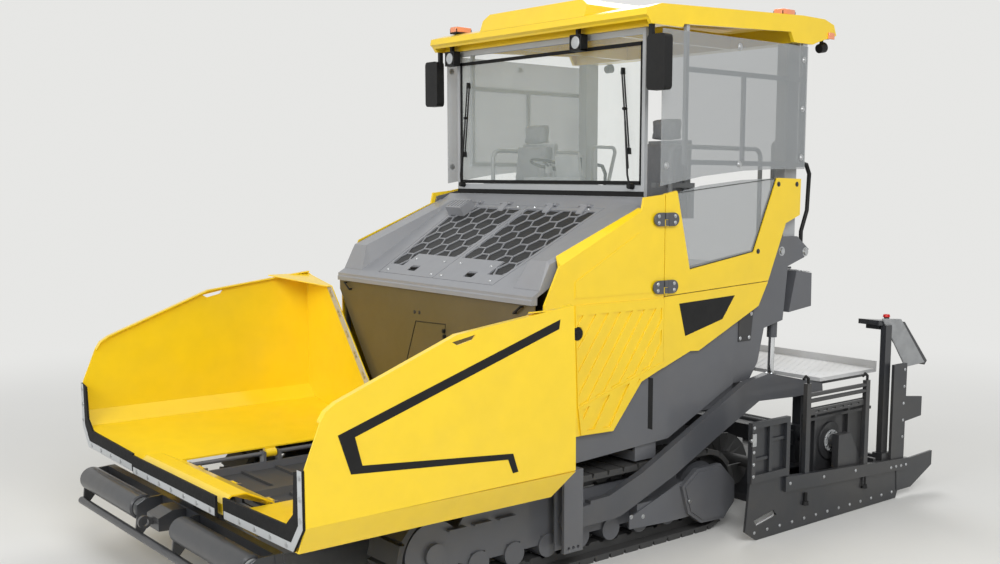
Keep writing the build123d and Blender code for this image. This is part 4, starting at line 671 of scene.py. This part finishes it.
# ---- hopper
@dataclass
class HopperTrim:
    """Strips, bolts and stripes of the hopper, its flaps and the wall behind it."""

    side_face: float = 1.635
    flap_face: float = 2.7803
    apron_face: float = 2.8003
    rear_face: float = 1.002
    strip: float = 0.0024
    strip_edge: float = 0.0008
    stripe_depth: float = 0.0012
    bolt: float = 0.011
    stripe: Outline = ((1.099, 1.728), (2.577, 1.244), (2.505, 1.03), (1.487, 0.948), (1.452, 0.862),
                       (1.412, 0.866), (1.45, 0.978), (2.437, 1.066), (2.478, 1.222), (1.108, 1.672))
    flap_strip: Outline = ((1.628, 1.088), (1.628, 0.786), (1.522, 0.648), (0.7, 0.634), (0.7, 0.679),
                           (1.502, 0.693), (1.583, 0.8), (1.583, 1.088))
    rear_strip: Outline = ((1.236, 1.712), (0.7, 1.036), (0.7, 0.8), (0.76, 0.8), (0.76, 1.014),
                           (1.3, 1.7))
    rear_bolts: Numbers = (0.06, 0.28, 0.5, 0.72, 0.94)
    hatch: Outline = ((-0.137, 1.537), (0.234, 1.549), (0.21, 1.235), (-0.269, 1.22))
    latches: Outline = ((0.218, 1.5), (0.224, 1.462))
    latch_half: float = 0.014
    wall_screws: Outline = ((-0.15, 1.6), (-0.09, 1.602))
    hook_ends: Outline = ((1.02, 1.7), (1.09, 1.745))
    hook_reach: float = 0.022

    def build(self) -> None:
        """Make both wings' trim, the apron's and the wall's."""
        for side in SIDES:
            self._wing(side)
        self._apron()
        self._wall()

    def _wing(self, side: int) -> None:
        """Trim one wing."""
        stripe = Shape(side).prism(self.stripe, "y", self.side_face, self.side_face + self.stripe_depth)
        stripe.finish("wing_stripe", Finish.BLACK, "wing")
        front, rear = self.flap_face + self.strip, self.rear_face + self.strip
        strips = Shape(side).prism(self.flap_strip, "x", self.flap_face, front)
        strips.prism(self.rear_strip, "x", self.rear_face, rear)
        strips.finish("wing_strips", Finish.ZINC, "wing", bevel=self.strip_edge)
        bolts = Studs(side, radius=self.bolt, height=0.0045)
        bolts.row((front, 1.606, 1.05), (front, 1.606, 0.83), 3, AHEAD)
        bolts.row((front, 1.45, 0.669), (front, 0.9, 0.662), 4, AHEAD)
        for share in self.rear_bolts:
            y, z = 1.265 - share * 0.53, 1.69 - share * 0.66
            for step in (-0.018, 0.018):
                bolts.add((rear, y + step * 0.62, z + step * 0.78), AHEAD)
        bolts.finish("wing_bolts", Finish.BRIGHT, "wing")

    def _apron(self) -> None:
        """Trim the middle flap."""
        face, front = self.apron_face, self.apron_face + self.strip
        strip = Shape().block((face, -0.62, 0.636), (front, 0.62, 0.68))
        strip.finish("apron_strip", Finish.ZINC, "apron", bevel=self.strip_edge)
        bolts = Studs(radius=self.bolt, height=0.005).row((front, -0.56, 0.658), (front, 0.56, 0.658), 7, AHEAD)
        bolts.finish("apron_bolts", Finish.BRIGHT, "apron")

    def _wall(self) -> None:
        """Trim the hatch in the wall behind the hopper."""
        face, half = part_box("hopper_bulkhead")[1][0], self.latch_half
        hatch = Shape()
        for y, z in self.latches:
            hatch.block((face, y - half, z - half), (face + 0.01, y + half, z + half))
            hatch.bar((face + 0.009, y, z), (face + 0.016, y, z), 0.009)
        seam = face - 0.001
        for start, end in zip(self.hatch, self.hatch[1:] + self.hatch[:1]):
            hatch.bar((seam, *start), (seam, *end), 0.0032, sides=8)
        hatch.finish("hatch_latches", Finish.BLACK)
        screws = Studs(radius=0.01, height=0.006)
        for y, z in self.wall_screws:
            screws.add((face, y, z), AHEAD)
        screws.finish("wall_screws", Finish.DARK)
        hooks, reach = Shape(), face + self.hook_reach
        (low_y, low_z), (high_y, high_z) = self.hook_ends
        for side in SIDES:
            low, high = (side * low_y, low_z), (side * high_y, high_z)
            hooks.tube(((face, *low), (reach, *low), (reach, *high), (face, *high)), 0.006)
        hooks.finish("wall_hooks", Finish.BLACK)


# ---- hood
@dataclass
class HoodTrim:
    """Mesh behind the hood's honeycomb, handles and knobs."""

    top: float = 2.365
    slope: float = math.atan2(0.55, 0.958)
    cell_depth: float = 0.009
    mesh_edge: Outline = ((0.076, 0.04), (0.655, 0.04), (0.655, 0.524), (0.795, 0.524), (0.795, 0.68),
                          (0.076, 0.798))
    handle: float = 0.816
    knobs: Outline = ((0.72, 0.1), (0.72, 0.46), (0.86, 0.06), (0.86, 0.63), (0.05, 0.1), (0.05, 0.7))

    def build(self) -> None:
        """Trim both doors in the plane of the hood."""
        frame = Matrix.Translation((0, 0, self.top)) @ Matrix.Rotation(self.slope, 4, "Y")
        stretch = 1 / math.cos(self.slope)
        for side in SIDES:
            mesh = Shape(side, frame)
            mesh.prism(tuple((x * stretch, y) for x, y in self.mesh_edge), "z", 0.0004 - self.cell_depth,
                       0.0012 - self.cell_depth)
            mesh.finish("hood_mesh", Finish.MESH, "hood_door")
            handle = Shape(side, frame)
            middle = self.handle * stretch
            handle.block((middle - 0.022, 0.304, -0.0115), (middle + 0.022, 0.396, -0.004))
            handle.block((middle - 0.008, 0.312, -0.006), (middle + 0.008, 0.388, 0.006))
            handle.finish("hood_handle", Finish.BLACK, "hood_door", bevel=0.003)
            knobs = Studs(side, frame, radius=0.01, height=0.008, sides=16, top=0.006)
            for x, y in self.knobs:
                knobs.add((x * stretch, y, 0.0), UP)
            knobs.finish("hood_knobs", Finish.BRIGHT, "hood_door")


# ---- sides
@dataclass
class BodyTrim:
    """Hinge screws, lock, blank plate, seams and screws of the machine's sides."""

    face: float = 1.25
    wall: float = 1.2257
    plate: Outline = ((-0.304, 1.697), (-0.883, 1.721), (-0.755, 1.557), (-0.37, 1.465))
    wall_slot: Outline = ((-0.04, 1.205), (-0.084, 1.195), (-0.084, 0.835), (-0.04, 0.85))
    window: Outline = ((-0.272, 2.459), (-0.405, 1.929), (-1.082, 2.027), (-1.324, 2.563))
    screws: Outline = ((-1.13, 2.03), (-1.345, 2.52), (-1.56, 2.52))
    lock: Place = (0.626, 1.563)
    hinge_x: float = -0.154
    hinge_heights: Numbers = (1.822, 2.28)
    leaf: float = 0.0205
    leaf_half: float = 0.046

    def build(self) -> None:
        """Trim both sides."""
        for side in SIDES:
            self._panel(side)
            self._door(side)

    def _panel(self, side: int) -> None:
        """Trim the fixed panels."""
        plate = Shape(side).prism(self.plate, "y", self.face, self.face + 0.0015)
        plate.finish("side_plate", Finish.BLACK, bevel=0.0005)
        seal = Shape(side)
        low = [(x * 0.985 - 0.012, z * 0.985 + 0.034) for x, z in self.window]
        for index in range(4):
            after = (index + 1) % 4
            seal.prism((self.window[index], self.window[after], low[after], low[index]), "y", self.face - 0.02,
                       self.face - 0.009)
        seal.finish("window_seal", Finish.RUBBER)
        Shape(side).prism(self.wall_slot, "y", self.wall, self.wall + 0.002).finish("wall_slot", Finish.BLACK)
        screws = Studs(side, radius=0.013, height=0.008).on_side(self.face, *self.screws)
        screws.finish("panel_screws", Finish.DARK)
        leaf = Shape(side)
        for z in self.hinge_heights:
            leaf.prism(self._leaf_outline(z, -1), "y", self.face + 0.0005, self.face + self.leaf)
        leaf.finish("hinge_leaves", Finish.ARM, bevel=0.003)
        self._leaf_screws(side, -1, "hinge_screws", "chassis")

    def _door(self, side: int) -> None:
        """Trim the swinging door."""
        leaf, pin = Shape(side), self.face + 0.015
        for z in self.hinge_heights:
            leaf.prism(self._leaf_outline(z, 1), "y", self.face + 0.0085, self.face + self.leaf)
            leaf.bar((self.hinge_x, pin, z - 0.0452), (self.hinge_x, pin, z - 0.0008), 0.0146)
        leaf.finish("door_leaves", Finish.ARM, "side_door", bevel=0.003)
        self._leaf_screws(side, 1, "door_leaf_screws", "side_door")
        x, z = self.lock
        lock = Shape(side).bar((x, self.face - 0.0058, z), (x, self.face + 0.004, z), 0.044, 0.04, 36)
        lock.bar((x, self.face + 0.003, z), (x, self.face + 0.008, z), 0.026, 0.024, 28)
        lock.block((x - 0.02, self.face + 0.007, z - 0.004), (x + 0.02, self.face + 0.012, z + 0.004))
        lock.finish("door_lock", Finish.BLACK, "side_door", bevel=0.0015)

    def _leaf_outline(self, z: float, way: int) -> Outline:
        """Half-oval outline of a hinge leaf ahead of its pin or behind it, flat on the pin's side."""
        x, half = self.hinge_x + way * 0.062, self.leaf_half
        points = [(x - way * 0.042, z - half), (x - way * 0.042, z + half)]
        for index in range(9):
            angle = math.pi / 2 - math.pi * index / 8
            points.append((x + way * (0.008 + 0.05 * math.cos(angle)), z + half * math.sin(angle)))
        return tuple(points)

    def _leaf_screws(self, side: int, way: int, stem: str, body: str) -> None:
        """Set two screws on each hinge leaf of one hand."""
        x = self.hinge_x + way * 0.078
        places = ((x, z + rise) for z in self.hinge_heights for rise in (-0.022, 0.022))
        screws = Studs(side, radius=0.009, height=0.007).on_side(self.face + self.leaf, *places)
        screws.finish(stem, Finish.BRIGHT, body)


# ---- canopy
@dataclass
class CanopyTrim:
    """Seals, wipers, pane holders, lenses, beacon caps, mirror faces and rear hoops."""

    pane: float = -0.116
    pane_rim: Numbers = (1.035, 1.058, 2.512, 3.47)
    side_pane: float = 1.247
    wiper_ends: Outline = ((0.98, 0.88), (-1.0, -0.92))
    lamp_front: float = -0.006
    lamp_back: float = -0.07
    work_lamps: Numbers = (-1.06, 0.48)
    beacons: tuple[Spot, ...] = ((-0.14, -1.088, 3.7036), (-1.54, 1.1, 3.7615))
    beacon_corners: Outline = ((-0.0765, -0.04), (-0.066, -0.0465), (0.066, -0.0465), (0.0765, -0.04),
                               (0.0765, 0.04), (0.066, 0.0465), (-0.066, 0.0465), (-0.0765, 0.04))
    holders: Outline = ((-0.16, 2.64), (-0.16, 3.42), (-1.605, 2.72), (-1.605, 3.08), (-1.605, 3.44),
                        (-0.88, 3.48), (-0.9, 2.66))
    mirror: Outline = ((1.232, 3.15), (1.368, 3.15), (1.374, 3.3), (1.368, 3.47), (1.232, 3.47), (1.226, 3.3))
    hoop_y: float = 1.165
    hoop: Outline = ((-1.655, 2.69), (-1.775, 2.67), (-1.815, 2.6), (-1.8, 2.32), (-1.735, 2.16),
                     (-1.735, 2.01))

    def build(self) -> None:
        """Make the canopy's fittings."""
        self._seal()
        self._wipers()
        self._lamps()
        for side in SIDES:
            self._side(side)

    def _seal(self) -> None:
        """Seal the front pane."""
        seal, front = Shape(), self.pane + 0.005
        inner, outer, low, high = self.pane_rim
        for side in SIDES:
            near, far = sorted((side * inner, side * outer))
            seal.block((self.pane, near, low), (front, far, high))
        seal.block((self.pane, -outer, low - 0.002), (front, outer, low + 0.024))
        seal.block((self.pane, -outer, high - 0.024), (front, outer, high + 0.002))
        seal.block((-0.105, -1.089, 2.428), (-0.1035, 1.089, 2.464))
        seal.finish("windshield_seal", Finish.RUBBER, bevel=0.0004)

    def _wipers(self) -> None:
        """Lay two wipers on the front pane."""
        wipers = Shape()
        lift, sink = Vector((0.012, 0, 0)), Vector((0.02, 0, 0))
        for foot, head in self.wiper_ends:
            start, end = Vector((-0.072, foot, 2.5)), Vector((-0.082, head, 3.3))
            wipers.bar(start - Vector((0.03, 0, 0)), start + lift, 0.022, 0.018)
            wipers.tube((start, start.lerp(end, 0.1) + lift, start.lerp(end, 0.55)), 0.007)
            wipers.tube((start.lerp(end, 0.15), end), 0.006)
            middle = start.lerp(end, 0.66)
            wipers.bar(middle - Vector((0.022, 0, 0)), middle + lift, 0.01)
            for reach in (0.3, 0.98):
                _, y, z = start.lerp(end, reach)
                wipers.prism(((y - 0.01, z - 0.022), (y + 0.01, z - 0.022), (y + 0.006, z + 0.022),
                              (y - 0.006, z + 0.022)), "x", -0.108, -0.078)
            wipers.tube((start.lerp(end, 0.3) - sink, end - sink), 0.006)
        wipers.finish("wipers", Finish.BLACK)

    def _lamps(self) -> None:
        """Give the work lamps their lenses and the beacons their amber caps."""
        lenses, rims, face, back = Shape(), Shape(), self.lamp_front + 0.002, self.lamp_back
        for y in self.work_lamps:
            lenses.bar((self.lamp_front, y, 3.5), (self.lamp_front + 0.004, y, 3.5), 0.044, 0.038, 36)
            for low_y, low_z, high_y, high_z in ((-0.062, 3.442, 0.062, 3.456), (-0.062, 3.544, 0.062, 3.556),
                                                 (-0.062, 3.442, -0.052, 3.556), (0.052, 3.442, 0.062, 3.556)):
                rims.block((back, y + low_y, low_z), (face, y + high_y, high_z))
        lenses.finish("work_lamp_lenses", Finish.LAMP, bevel=0.001)
        rims.finish("work_lamp_frames", Finish.BLACK, bevel=0.003)
        caps = Shape()
        for x, y, base in self.beacons:
            caps.prism(tuple((x + u, y + v) for u, v in self.beacon_corners), "z", base + 0.012, base + 0.053)
        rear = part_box("roof")[0][0]
        caps.block((rear - 0.046, 1.045, 3.645), (rear - 0.004, 1.1615, 3.693))
        caps.finish("beacon_caps", Finish.AMBER, bevel=0.004)

    def _side(self, side: int) -> None:
        """Fit one side's pane holders, mirror, marker and rear hoop with its lamp."""
        holders = Studs(side, radius=0.017, height=0.008, sides=20, top=0.011, washer=0.024)
        holders.on_side(self.side_pane, *self.holders).finish("pane_holders", Finish.BRIGHT)
        Shape(side).prism(self.mirror, "x", -0.062, -0.0595).finish("mirror_glass", Finish.MIRROR, bevel=0.001)
        marker = Shape(side).block((-1.95, 1.249, 3.615), (-1.88, 1.263, 3.665))
        marker.finish("roof_marker", Finish.AMBER, bevel=0.005)
        lamp = Shape(side).bar((-1.905, 1.195, 3.56), (-1.845, 1.195, 3.545), 0.04, 0.034, 28)
        lamp.block((-1.885, 1.185, 3.565), (-1.865, 1.205, 3.622))
        lamp.tube(tuple((x, self.hoop_y, z) for x, z in self.hoop), 0.016)
        lamp.finish("rear_hoop", Finish.BLACK)


# ---- operator's place
@dataclass(frozen=True)
class Pad:
    """One stuffed cover of a seat."""

    name: str
    outline: Outline
    half: float
    fill: float


@dataclass
class Cover(Fitting):
    """A piece from a mesh that has been stuffed already."""

    smooth: float = 60.0
    mesh: bpy.types.Mesh | None = None

    def made(self, finish: Finish) -> bpy.types.Mesh:
        """The mesh as it is."""
        return self.mesh


@dataclass
class CabTrim:
    """Stuffed seats and the small things on the control desk."""

    seat_y: float = 0.75
    pads: tuple[Pad, ...] = (
        Pad("seat_pan", ((-0.647, 2.3), (-0.263, 2.3), (-0.263, 2.366), (-0.33, 2.372), (-0.6, 2.368),
                         (-0.647, 2.36)), 0.208, 0.62),
        Pad("seat_back", ((-0.649, 2.392), (-0.582, 2.392), (-0.576, 2.56), (-0.608, 2.82), (-0.668, 2.82)),
            0.194, 0.6),
        Pad("seat_head", ((-0.7, 2.842), (-0.622, 2.842), (-0.628, 2.975), (-0.69, 2.985), (-0.704, 2.96)),
            0.116, 0.7))
    voxel: float = 0.0065
    pressure: float = 4.0
    frames: int = 20
    room: float = 0.014
    seam: float = 0.66
    seam_depth: float = 0.005
    seam_half: float = 0.012
    wheel: Spot = (-0.32, -0.18, 2.655)
    wheel_radius: float = 0.15

    def build(self) -> None:
        """Stuff the seats and dress the desk."""
        for pad in self.pads:
            stuffed = self._stuffed(pad)
            for side in SIDES:
                mesh = stuffed.copy()
                mesh.transform(Matrix.Translation((0, side * self.seat_y, 0)))
                piece = Cover(side, mesh=mesh).finish(pad.name, Finish.CLOTH)
                if pad is self.pads[0] and side > 0:
                    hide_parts("seat_cushions")
        self._desk()

    def _stuffed(self, pad: Pad) -> bpy.types.Mesh:
        """Blow a slab up like a filled cover and press its seams in.

        Args:
            pad: The cover.

        Returns:
            The finished mesh, centred on the machine.
        """
        slab = Shape().prism(pad.outline, "y", -pad.half, pad.half).written()
        holder = placed(pad.name, slab)
        self._blow(holder)
        holder.modifiers.new("smooth", "SUBSURF").levels = 1
        done = evaluated(holder)
        bpy.data.objects.remove(holder)
        for vertex, normal in zip(done.vertices, [vertex.normal.copy() for vertex in done.vertices]):
            gap = abs(abs(vertex.co.y) - pad.half * self.seam)
            vertex.co -= normal * self.seam_depth * max(0.0, 1.0 - gap / self.seam_half)
        return done

    def _blow(self, holder: bpy.types.Object) -> None:
        """Fill an object's mesh with air as cloth, and hold the swelling to its room."""
        remesh = holder.modifiers.new("even", "REMESH")
        remesh.mode, remesh.voxel_size = "VOXEL", self.voxel
        start = evaluated(holder)
        holder.data = start
        holder.modifiers.clear()
        cloth = holder.modifiers.new("cover", "CLOTH").settings
        cloth.use_pressure, cloth.uniform_pressure_force, cloth.quality = True, self.pressure, 5
        cloth.effector_weights.gravity = 0.0
        for frame in range(1, self.frames + 1):
            bpy.context.scene.frame_set(frame)
        blown = evaluated(holder)
        for vertex, origin in zip(blown.vertices, start.vertices):
            move = vertex.co - origin.co
            if move.length > self.room:
                vertex.co = origin.co + move * (self.room / move.length)
        holder.data = blown
        holder.modifiers.clear()
        bpy.context.scene.frame_set(1)

    def _desk(self) -> None:
        """Put the screen, wheel and keys on the desk."""
        screen = Shape().block((-0.252, 0.055, 2.575), (-0.2475, 0.285, 2.705))
        screen.finish("desk_screen", Finish.SCREEN, bevel=0.001)
        x, y, z = self.wheel
        ring = [(x + u * 0.9, y + v, z + u * 0.25) for u, v in circle(0, 0, self.wheel_radius, 28)]
        wheel = Shape().tube(ring + ring[:1], 0.011)
        for index in range(3):
            wheel.tube(((x, y, z - 0.015), ring[index * 9 + 2]), 0.009)
        wheel.finish("steering_wheel", Finish.BLACK)
        keys = Studs(radius=0.01, height=0.008, sides=12)
        for row in range(3):
            x, z = -0.25 - row * 0.045, 2.549 - row * 0.0135
            keys.row((x, -0.1, z), (x, 0.02, z), 4, (-0.29, 0, 0.96))
        keys.finish("desk_keys", Finish.BLACK)


# ---- running gear and rear
@dataclass
class GearTrim:
    """Bolts of the drives and guards, column pins and plates, roller rings and step ribs."""

    drive_face: float = 1.272
    drive_bolt: Place = (0.527, 0.275)
    guard_gap: float = 0.014
    guard_bolts: Outline = ((0.114, 0.254), (0.001, 0.236))
    column_face: float = 1.2
    plate_depth: float = 0.006
    column_pins: Outline = ((-1.466, 2.016), (-1.752, 2.002))
    plate: Outline = ((-0.985, 1.365), (-1.125, 1.365), (-1.15, 1.59), (-0.99, 1.59))
    plate_bolts: Outline = ((-1.005, 1.39), (-1.105, 1.39), (-1.125, 1.565), (-1.01, 1.565))
    roller: Spot = (2.866, 0.494, 0.062)
    step_ribs: Numbers = (-1.835, -1.79, -1.745, -1.7)

    def build(self) -> None:
        """Make every loose fitting low on the machine."""
        track_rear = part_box("track_left")[0][0]
        for side in SIDES:
            bolts = Studs(side, radius=0.011, height=0.007)
            bolts.on_side(self.drive_face, (track_rear + self.drive_bolt[0], self.drive_bolt[1]))
            track_face = max(abs(corner[1]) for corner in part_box(f"track_{SIDES[side]}"))
            bolts.on_side(track_face + self.guard_gap, *self.guard_bolts)
            bolts.finish("drive_bolts", Finish.BRIGHT)
            self._column(side)
            self._roller(side)

    def _column(self, side: int) -> None:
        """Fit the pins and the bolted plate of one rear column."""
        pins = Studs(side, radius=0.026, height=0.012, sides=28, top=0.022, washer=0.036)
        pins.on_side(self.column_face, *self.column_pins).finish("column_pins", Finish.BRIGHT)
        front = self.column_face + self.plate_depth
        plate = Shape(side).prism(self.plate, "y", self.column_face, front)
        plate.finish("column_plate", Finish.DARK, bevel=0.002)
        bolts = Studs(side, radius=0.01, height=0.006).on_side(front, *self.plate_bolts)
        bolts.finish("column_bolts", Finish.BRIGHT)

    def _roller(self, side: int) -> None:
        """Ring the ends of one push roller, and rib one step."""
        rings = Shape(side)
        inner, outer = sorted(abs(corner[1]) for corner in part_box(f"push_roller_{SIDES[side]}"))
        for start, stop in ((inner - 0.0015, inner + 0.004), (outer - 0.004, outer + 0.0015)):
            rings.prism(circle(*self.roller, 32), "y", start, stop)
        rings.finish("roller_rings", Finish.BRIGHT, "push_roller")
        step = Shape(side)
        for x in self.step_ribs:
            rise = (x + 1.841) * 0.133
            step.block((x, 1.062, 1.8395 + rise), (x + 0.02, 1.198, 1.848 + rise))
        step.finish("step_ribs", Finish.TREAD, bevel=0.002)


@dataclass
class ScreedTrim:
    """Plates, flanges, bolts, jacks, desks and treads of the screed and its extending halves."""

    disc: Spot = (-1.8, 1.47, 0.553)
    gate: float = 1.61
    beam: float = 1.635
    box_wall: float = 1.597
    inner_plate: Outline = ((-2.32, 0.335), (-2.32, 0.8), (-2.26, 0.838), (-1.5, 0.838), (-1.44, 0.8),
                            (-1.44, 0.335))
    inner_ribs: Numbers = (-2.24, -2.01, -1.59, -1.47)
    jacks: Numbers = (-1.304, -2.04)
    jack_tops: Numbers = (1.075, 1.02)
    jack_y: float = 1.618
    crank_y: float = 1.612
    crank: Outline = ((0, -0.01), (0, 0.035), (0.03, 0.055), (0.06, 0.035))
    desk_face: Outline = ((-2.3, 1.474), (-2.56, 1.452), (-2.93, 1.062), (-2.65, 1.052))
    switch_step: float = 0.06 * math.cos(math.pi / 4)
    tread_rows: int = 12
    tread_columns: int = 38
    deck_top: float = 1.0

    def build(self) -> None:
        """Trim the screed's middle and both ends."""
        for side in SIDES:
            self._plates(side)
            self._bolts(side)
            self._jacks(side)
            self._console(side)
        self._deck()

    def _plates(self, side: int) -> None:
        """Close the end gate's inside behind the guide tube's flange, and its front box."""
        x, y, z = self.disc
        back, wall = y - 0.0209, self.box_wall
        plates = Shape(side).bar((x, y - 0.021, z), (x, y - 0.004, z), 0.15, 0.146, 48)
        plates.prism(self.inner_plate, "y", y - 0.0245, y - 0.0208)
        for rib in self.inner_ribs:
            plates.block((rib - 0.012, back, 0.34), (rib + 0.012, y + 0.006, 0.826))
        plates.block((-2.3, back, 0.742), (-1.45, y + 0.01, 0.766))
        plates.block((-1.052, wall - 0.0045, 0.484), (-0.708, wall, 0.824))
        plates.block((-0.9, wall, 0.486), (-0.868, 1.622, 0.822))
        plates.block((-1.05, wall, 0.7), (-0.9, 1.612, 0.724))
        plates.block((-0.868, wall, 0.58), (-0.71, 1.612, 0.604))
        plates.finish("gate_inner_plates", Finish.CHARCOAL, "extension", bevel=0.002)
        ring = Shape(side).bar((x, y - 0.0005, z), (x, y + 0.007, z), 0.086, 0.084, 40)
        ring.finish("tube_flange", Finish.ZINC, "extension", bevel=0.001)

    def _bolts(self, side: int) -> None:
        """Bolt the flange, the end gate and its beam."""
        x, y, z = self.disc
        bolts = Studs(side, radius=0.0085, height=0.006).on_side(y + 0.007, *circle(x, z, 0.073, 8, 0.5))
        for (start_x, start_z), (end_x, end_z), face, count in (
                ((-0.69, 0.48), (-0.69, 0.83), self.gate + 0.02, 5),
                ((-0.74, 0.06), (-2.44, 0.06), self.gate, 13),
                ((-2.38, 0.275), (-2.59, 0.268), self.beam, 4),
                ((-1.1, 0.365), (-1.9, 0.33), self.beam, 3),
                ((-2.55, 0.5), (-2.55, 1.05), self.gate + 0.005, 5)):
            bolts.row((start_x, face, start_z), (end_x, face, end_z), count, OUT)
        bolts.finish("gate_bolts", Finish.BRIGHT, "extension")

    def _jacks(self, side: int) -> None:
        """Fit the feet and cranks of the end gate's spindles, and its latch."""
        knobs, y = Shape(side), self.jack_y
        for x in self.jacks:
            knobs.bar((x, y, 0.19), (x, y, 0.255), 0.016)
            knobs.bar((x, y, 0.165), (x, y, 0.193), 0.03, 0.024, 24)
        for x, top in zip(self.jacks, self.jack_tops):
            knobs.tube(tuple((x + u, self.crank_y, top + v) for u, v in self.crank), 0.01)
        knobs.finish("gate_jacks", Finish.BLACK, "extension", bevel=0.0015)
        face = self.gate + 0.02
        latch = Shape(side).block((-0.7, face, 0.7), (-0.66, face + 0.014, 0.79))
        latch.bar((-0.66, face + 0.007, 0.745), (-0.64, face + 0.007, 0.745), 0.012)
        latch.finish("gate_latch", Finish.BRIGHT, "extension", bevel=0.002)

    def _console(self, side: int) -> None:
        """Dress the screed console with its face, stop button and switches."""
        face = Shape(side).prism(self.desk_face, "y", 1.5405, 1.556)
        face.finish("desk_face", Finish.SHELL, "extension", bevel=0.006)
        button = Shape(side).bar((-2.45, 1.488, 1.47), (-2.45, 1.488, 1.492), 0.03, 0.024, 24)
        button.finish("stop_button", Finish.RED, "extension", bevel=0.003)
        switches = Studs(side, radius=0.01, height=0.012, sides=14)
        for row in range(4):
            x, z = -2.68 - row * self.switch_step, 1.377 - row * self.switch_step
            for column in range(3):
                switches.add((x, 1.4 + column * 0.045, z), (-0.7, 0, 0.7))
        switches.finish("desk_switches", Finish.BLACK, "extension")

    def _deck(self) -> None:
        """Lay raised treads over the walkway, every second row moved by half a step."""
        low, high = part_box("walkway")
        length, width = high[0] - low[0], high[1] - low[1]
        treads = Studs(radius=0.014, height=0.003, sides=8, top=0.008, washer=0.0142)
        for row in range(self.tread_rows):
            x = low[0] + 0.05 + row * (length - 0.1) / (self.tread_rows - 1)
            for column in range(self.tread_columns):
                y = low[1] + 0.04 + (column + 0.5 * (row % 2)) * (width - 0.1) / self.tread_columns
                treads.add((x, y, self.deck_top), UP)
        treads.finish("walkway_tread", Finish.TREAD, "screed")


# ---- studio
@dataclass
class Studio:
    """Pale floor, soft lamps and the camera."""

    eye: Spot = (5.437, 6.743, 2.538)
    forward: Spot = (-0.6556, -0.7444, -0.1269)
    roll: float = -0.0071
    lens: float = 41.45
    shift: Place = (-0.0809, 0.0456)
    floor_half: float = 60.0
    fade: Place = (3.5, 11.0)
    room_light: float = 0.5
    glow: float = 0.95
    backdrop: Colour = linear(236, 236, 234)
    lamp_size: float = 6.0
    lamp_aim: Spot = (0.0, 0.0, 1.5)
    lamps: tuple[tuple[str, Spot, float], ...] = (
        ("key", (4.0, 9.0, 8.0), 780.0), ("front", (11.0, 1.0, 6.0), 560.0), ("rim", (-7.0, -5.0, 9.0), 500.0))

    def build(self) -> None:
        """Make everything that isn't the machine."""
        self._camera()
        self._floor()
        self._room()
        self._lamps()
        bpy.context.scene.view_settings.view_transform = "Standard"

    def _camera(self) -> None:
        """Aim the camera."""
        camera = placed("camera", bpy.data.cameras.new("camera"))
        camera.data.lens = self.lens
        camera.data.shift_x, camera.data.shift_y = self.shift
        camera.data.clip_end = 200
        look = Vector(self.forward).normalized()
        right = look.cross(Vector(UP)).normalized()
        turn = Matrix.Rotation(self.roll, 3, look)
        axes = Matrix((turn @ right, turn @ right.cross(look), -look)).transposed().to_4x4()
        camera.matrix_world = Matrix.Translation(self.eye) @ axes
        bpy.context.scene.camera = camera

    def _floor(self) -> None:
        """Lay a pale floor that fades into the backdrop's colour far out."""
        mesh = bpy.data.meshes.new("floor")
        corners = [(x * self.floor_half, y * self.floor_half, 0) for x, y in ((-1, -1), (1, -1), (1, 1), (-1, 1))]
        mesh.from_pydata(corners, [], [(0, 1, 2, 3)])
        floor = placed("floor", mesh)
        sheet = Sheet("floor_paper")
        sheet.set(Base_Color=sheet.mix(sheet.noise(0.4, 2), linear(214, 214, 212), linear(222, 222, 220)),
                  Roughness=0.9)
        distance = sheet.node("ShaderNodeVectorMath", {"operation": "LENGTH"}, {0: sheet.place()}, "Value")
        far = sheet.node("ShaderNodeMapRange", {"interpolation_type": "SMOOTHSTEP"},
                         {"Value": distance, "From Min": self.fade[0], "From Max": self.fade[1]})
        glow = sheet.node("ShaderNodeEmission", {}, {"Color": self.backdrop, "Strength": self.glow})
        blend = sheet.node("ShaderNodeMixShader", {}, {0: far * sheet.seen(), 2: glow})
        sheet.tree.links.new(sheet.shader.outputs[0], blend.socket.node.inputs[1])
        sheet.feed(sheet.output.inputs["Surface"], blend)
        mesh.materials.append(sheet.material)

    def _room(self) -> None:
        """Light the room dimly, and show it as the plain backdrop."""
        world = bpy.data.worlds.new("room")
        world.use_nodes = True
        room = Graph(world.node_tree)
        background = world.node_tree.nodes["Background"]
        room.feed(background.inputs["Color"], self.backdrop)
        level = {"Value": room.seen(), "To Min": self.room_light, "To Max": self.glow}
        room.feed(background.inputs["Strength"], room.node("ShaderNodeMapRange", {}, level))
        bpy.context.scene.world = world

    def _lamps(self) -> None:
        """Hang the soft lamps."""
        for name, place, power in self.lamps:
            lamp = bpy.data.lights.new(name, "AREA")
            lamp.size, lamp.energy = self.lamp_size, power
            turn = (Vector(self.lamp_aim) - Vector(place)).to_track_quat("-Z", "Y").to_matrix().to_4x4()
            placed(name, lamp).matrix_world = Matrix.Translation(place) @ turn


def dress_nodes(nodes: dict) -> None:
    """Give every carried-over node its finish; a star stands for either side.

    Args:
        nodes: The frame's objects by name.
    """
    for finish, stems in NODE_FINISHES.items():
        for stem in stems.split():
            for word in SIDES.values() if "*" in stem else ("",):
                mesh = nodes[stem.replace("*", word)].data
                mesh.materials.clear()
                mesh.materials.append(finish.material())
            log.info("dressed %s in %s", stem, finish.name)


def main() -> None:
    """Build the looks round the frame."""
    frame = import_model()
    dress_nodes(frame["nodes"])
    for trim in (HopperTrim(), HoodTrim(), BodyTrim(), CanopyTrim(), CabTrim(), GearTrim(), ScreedTrim()):
        trim.build()
    Studio().build()


if __name__ == "__main__":
    main()
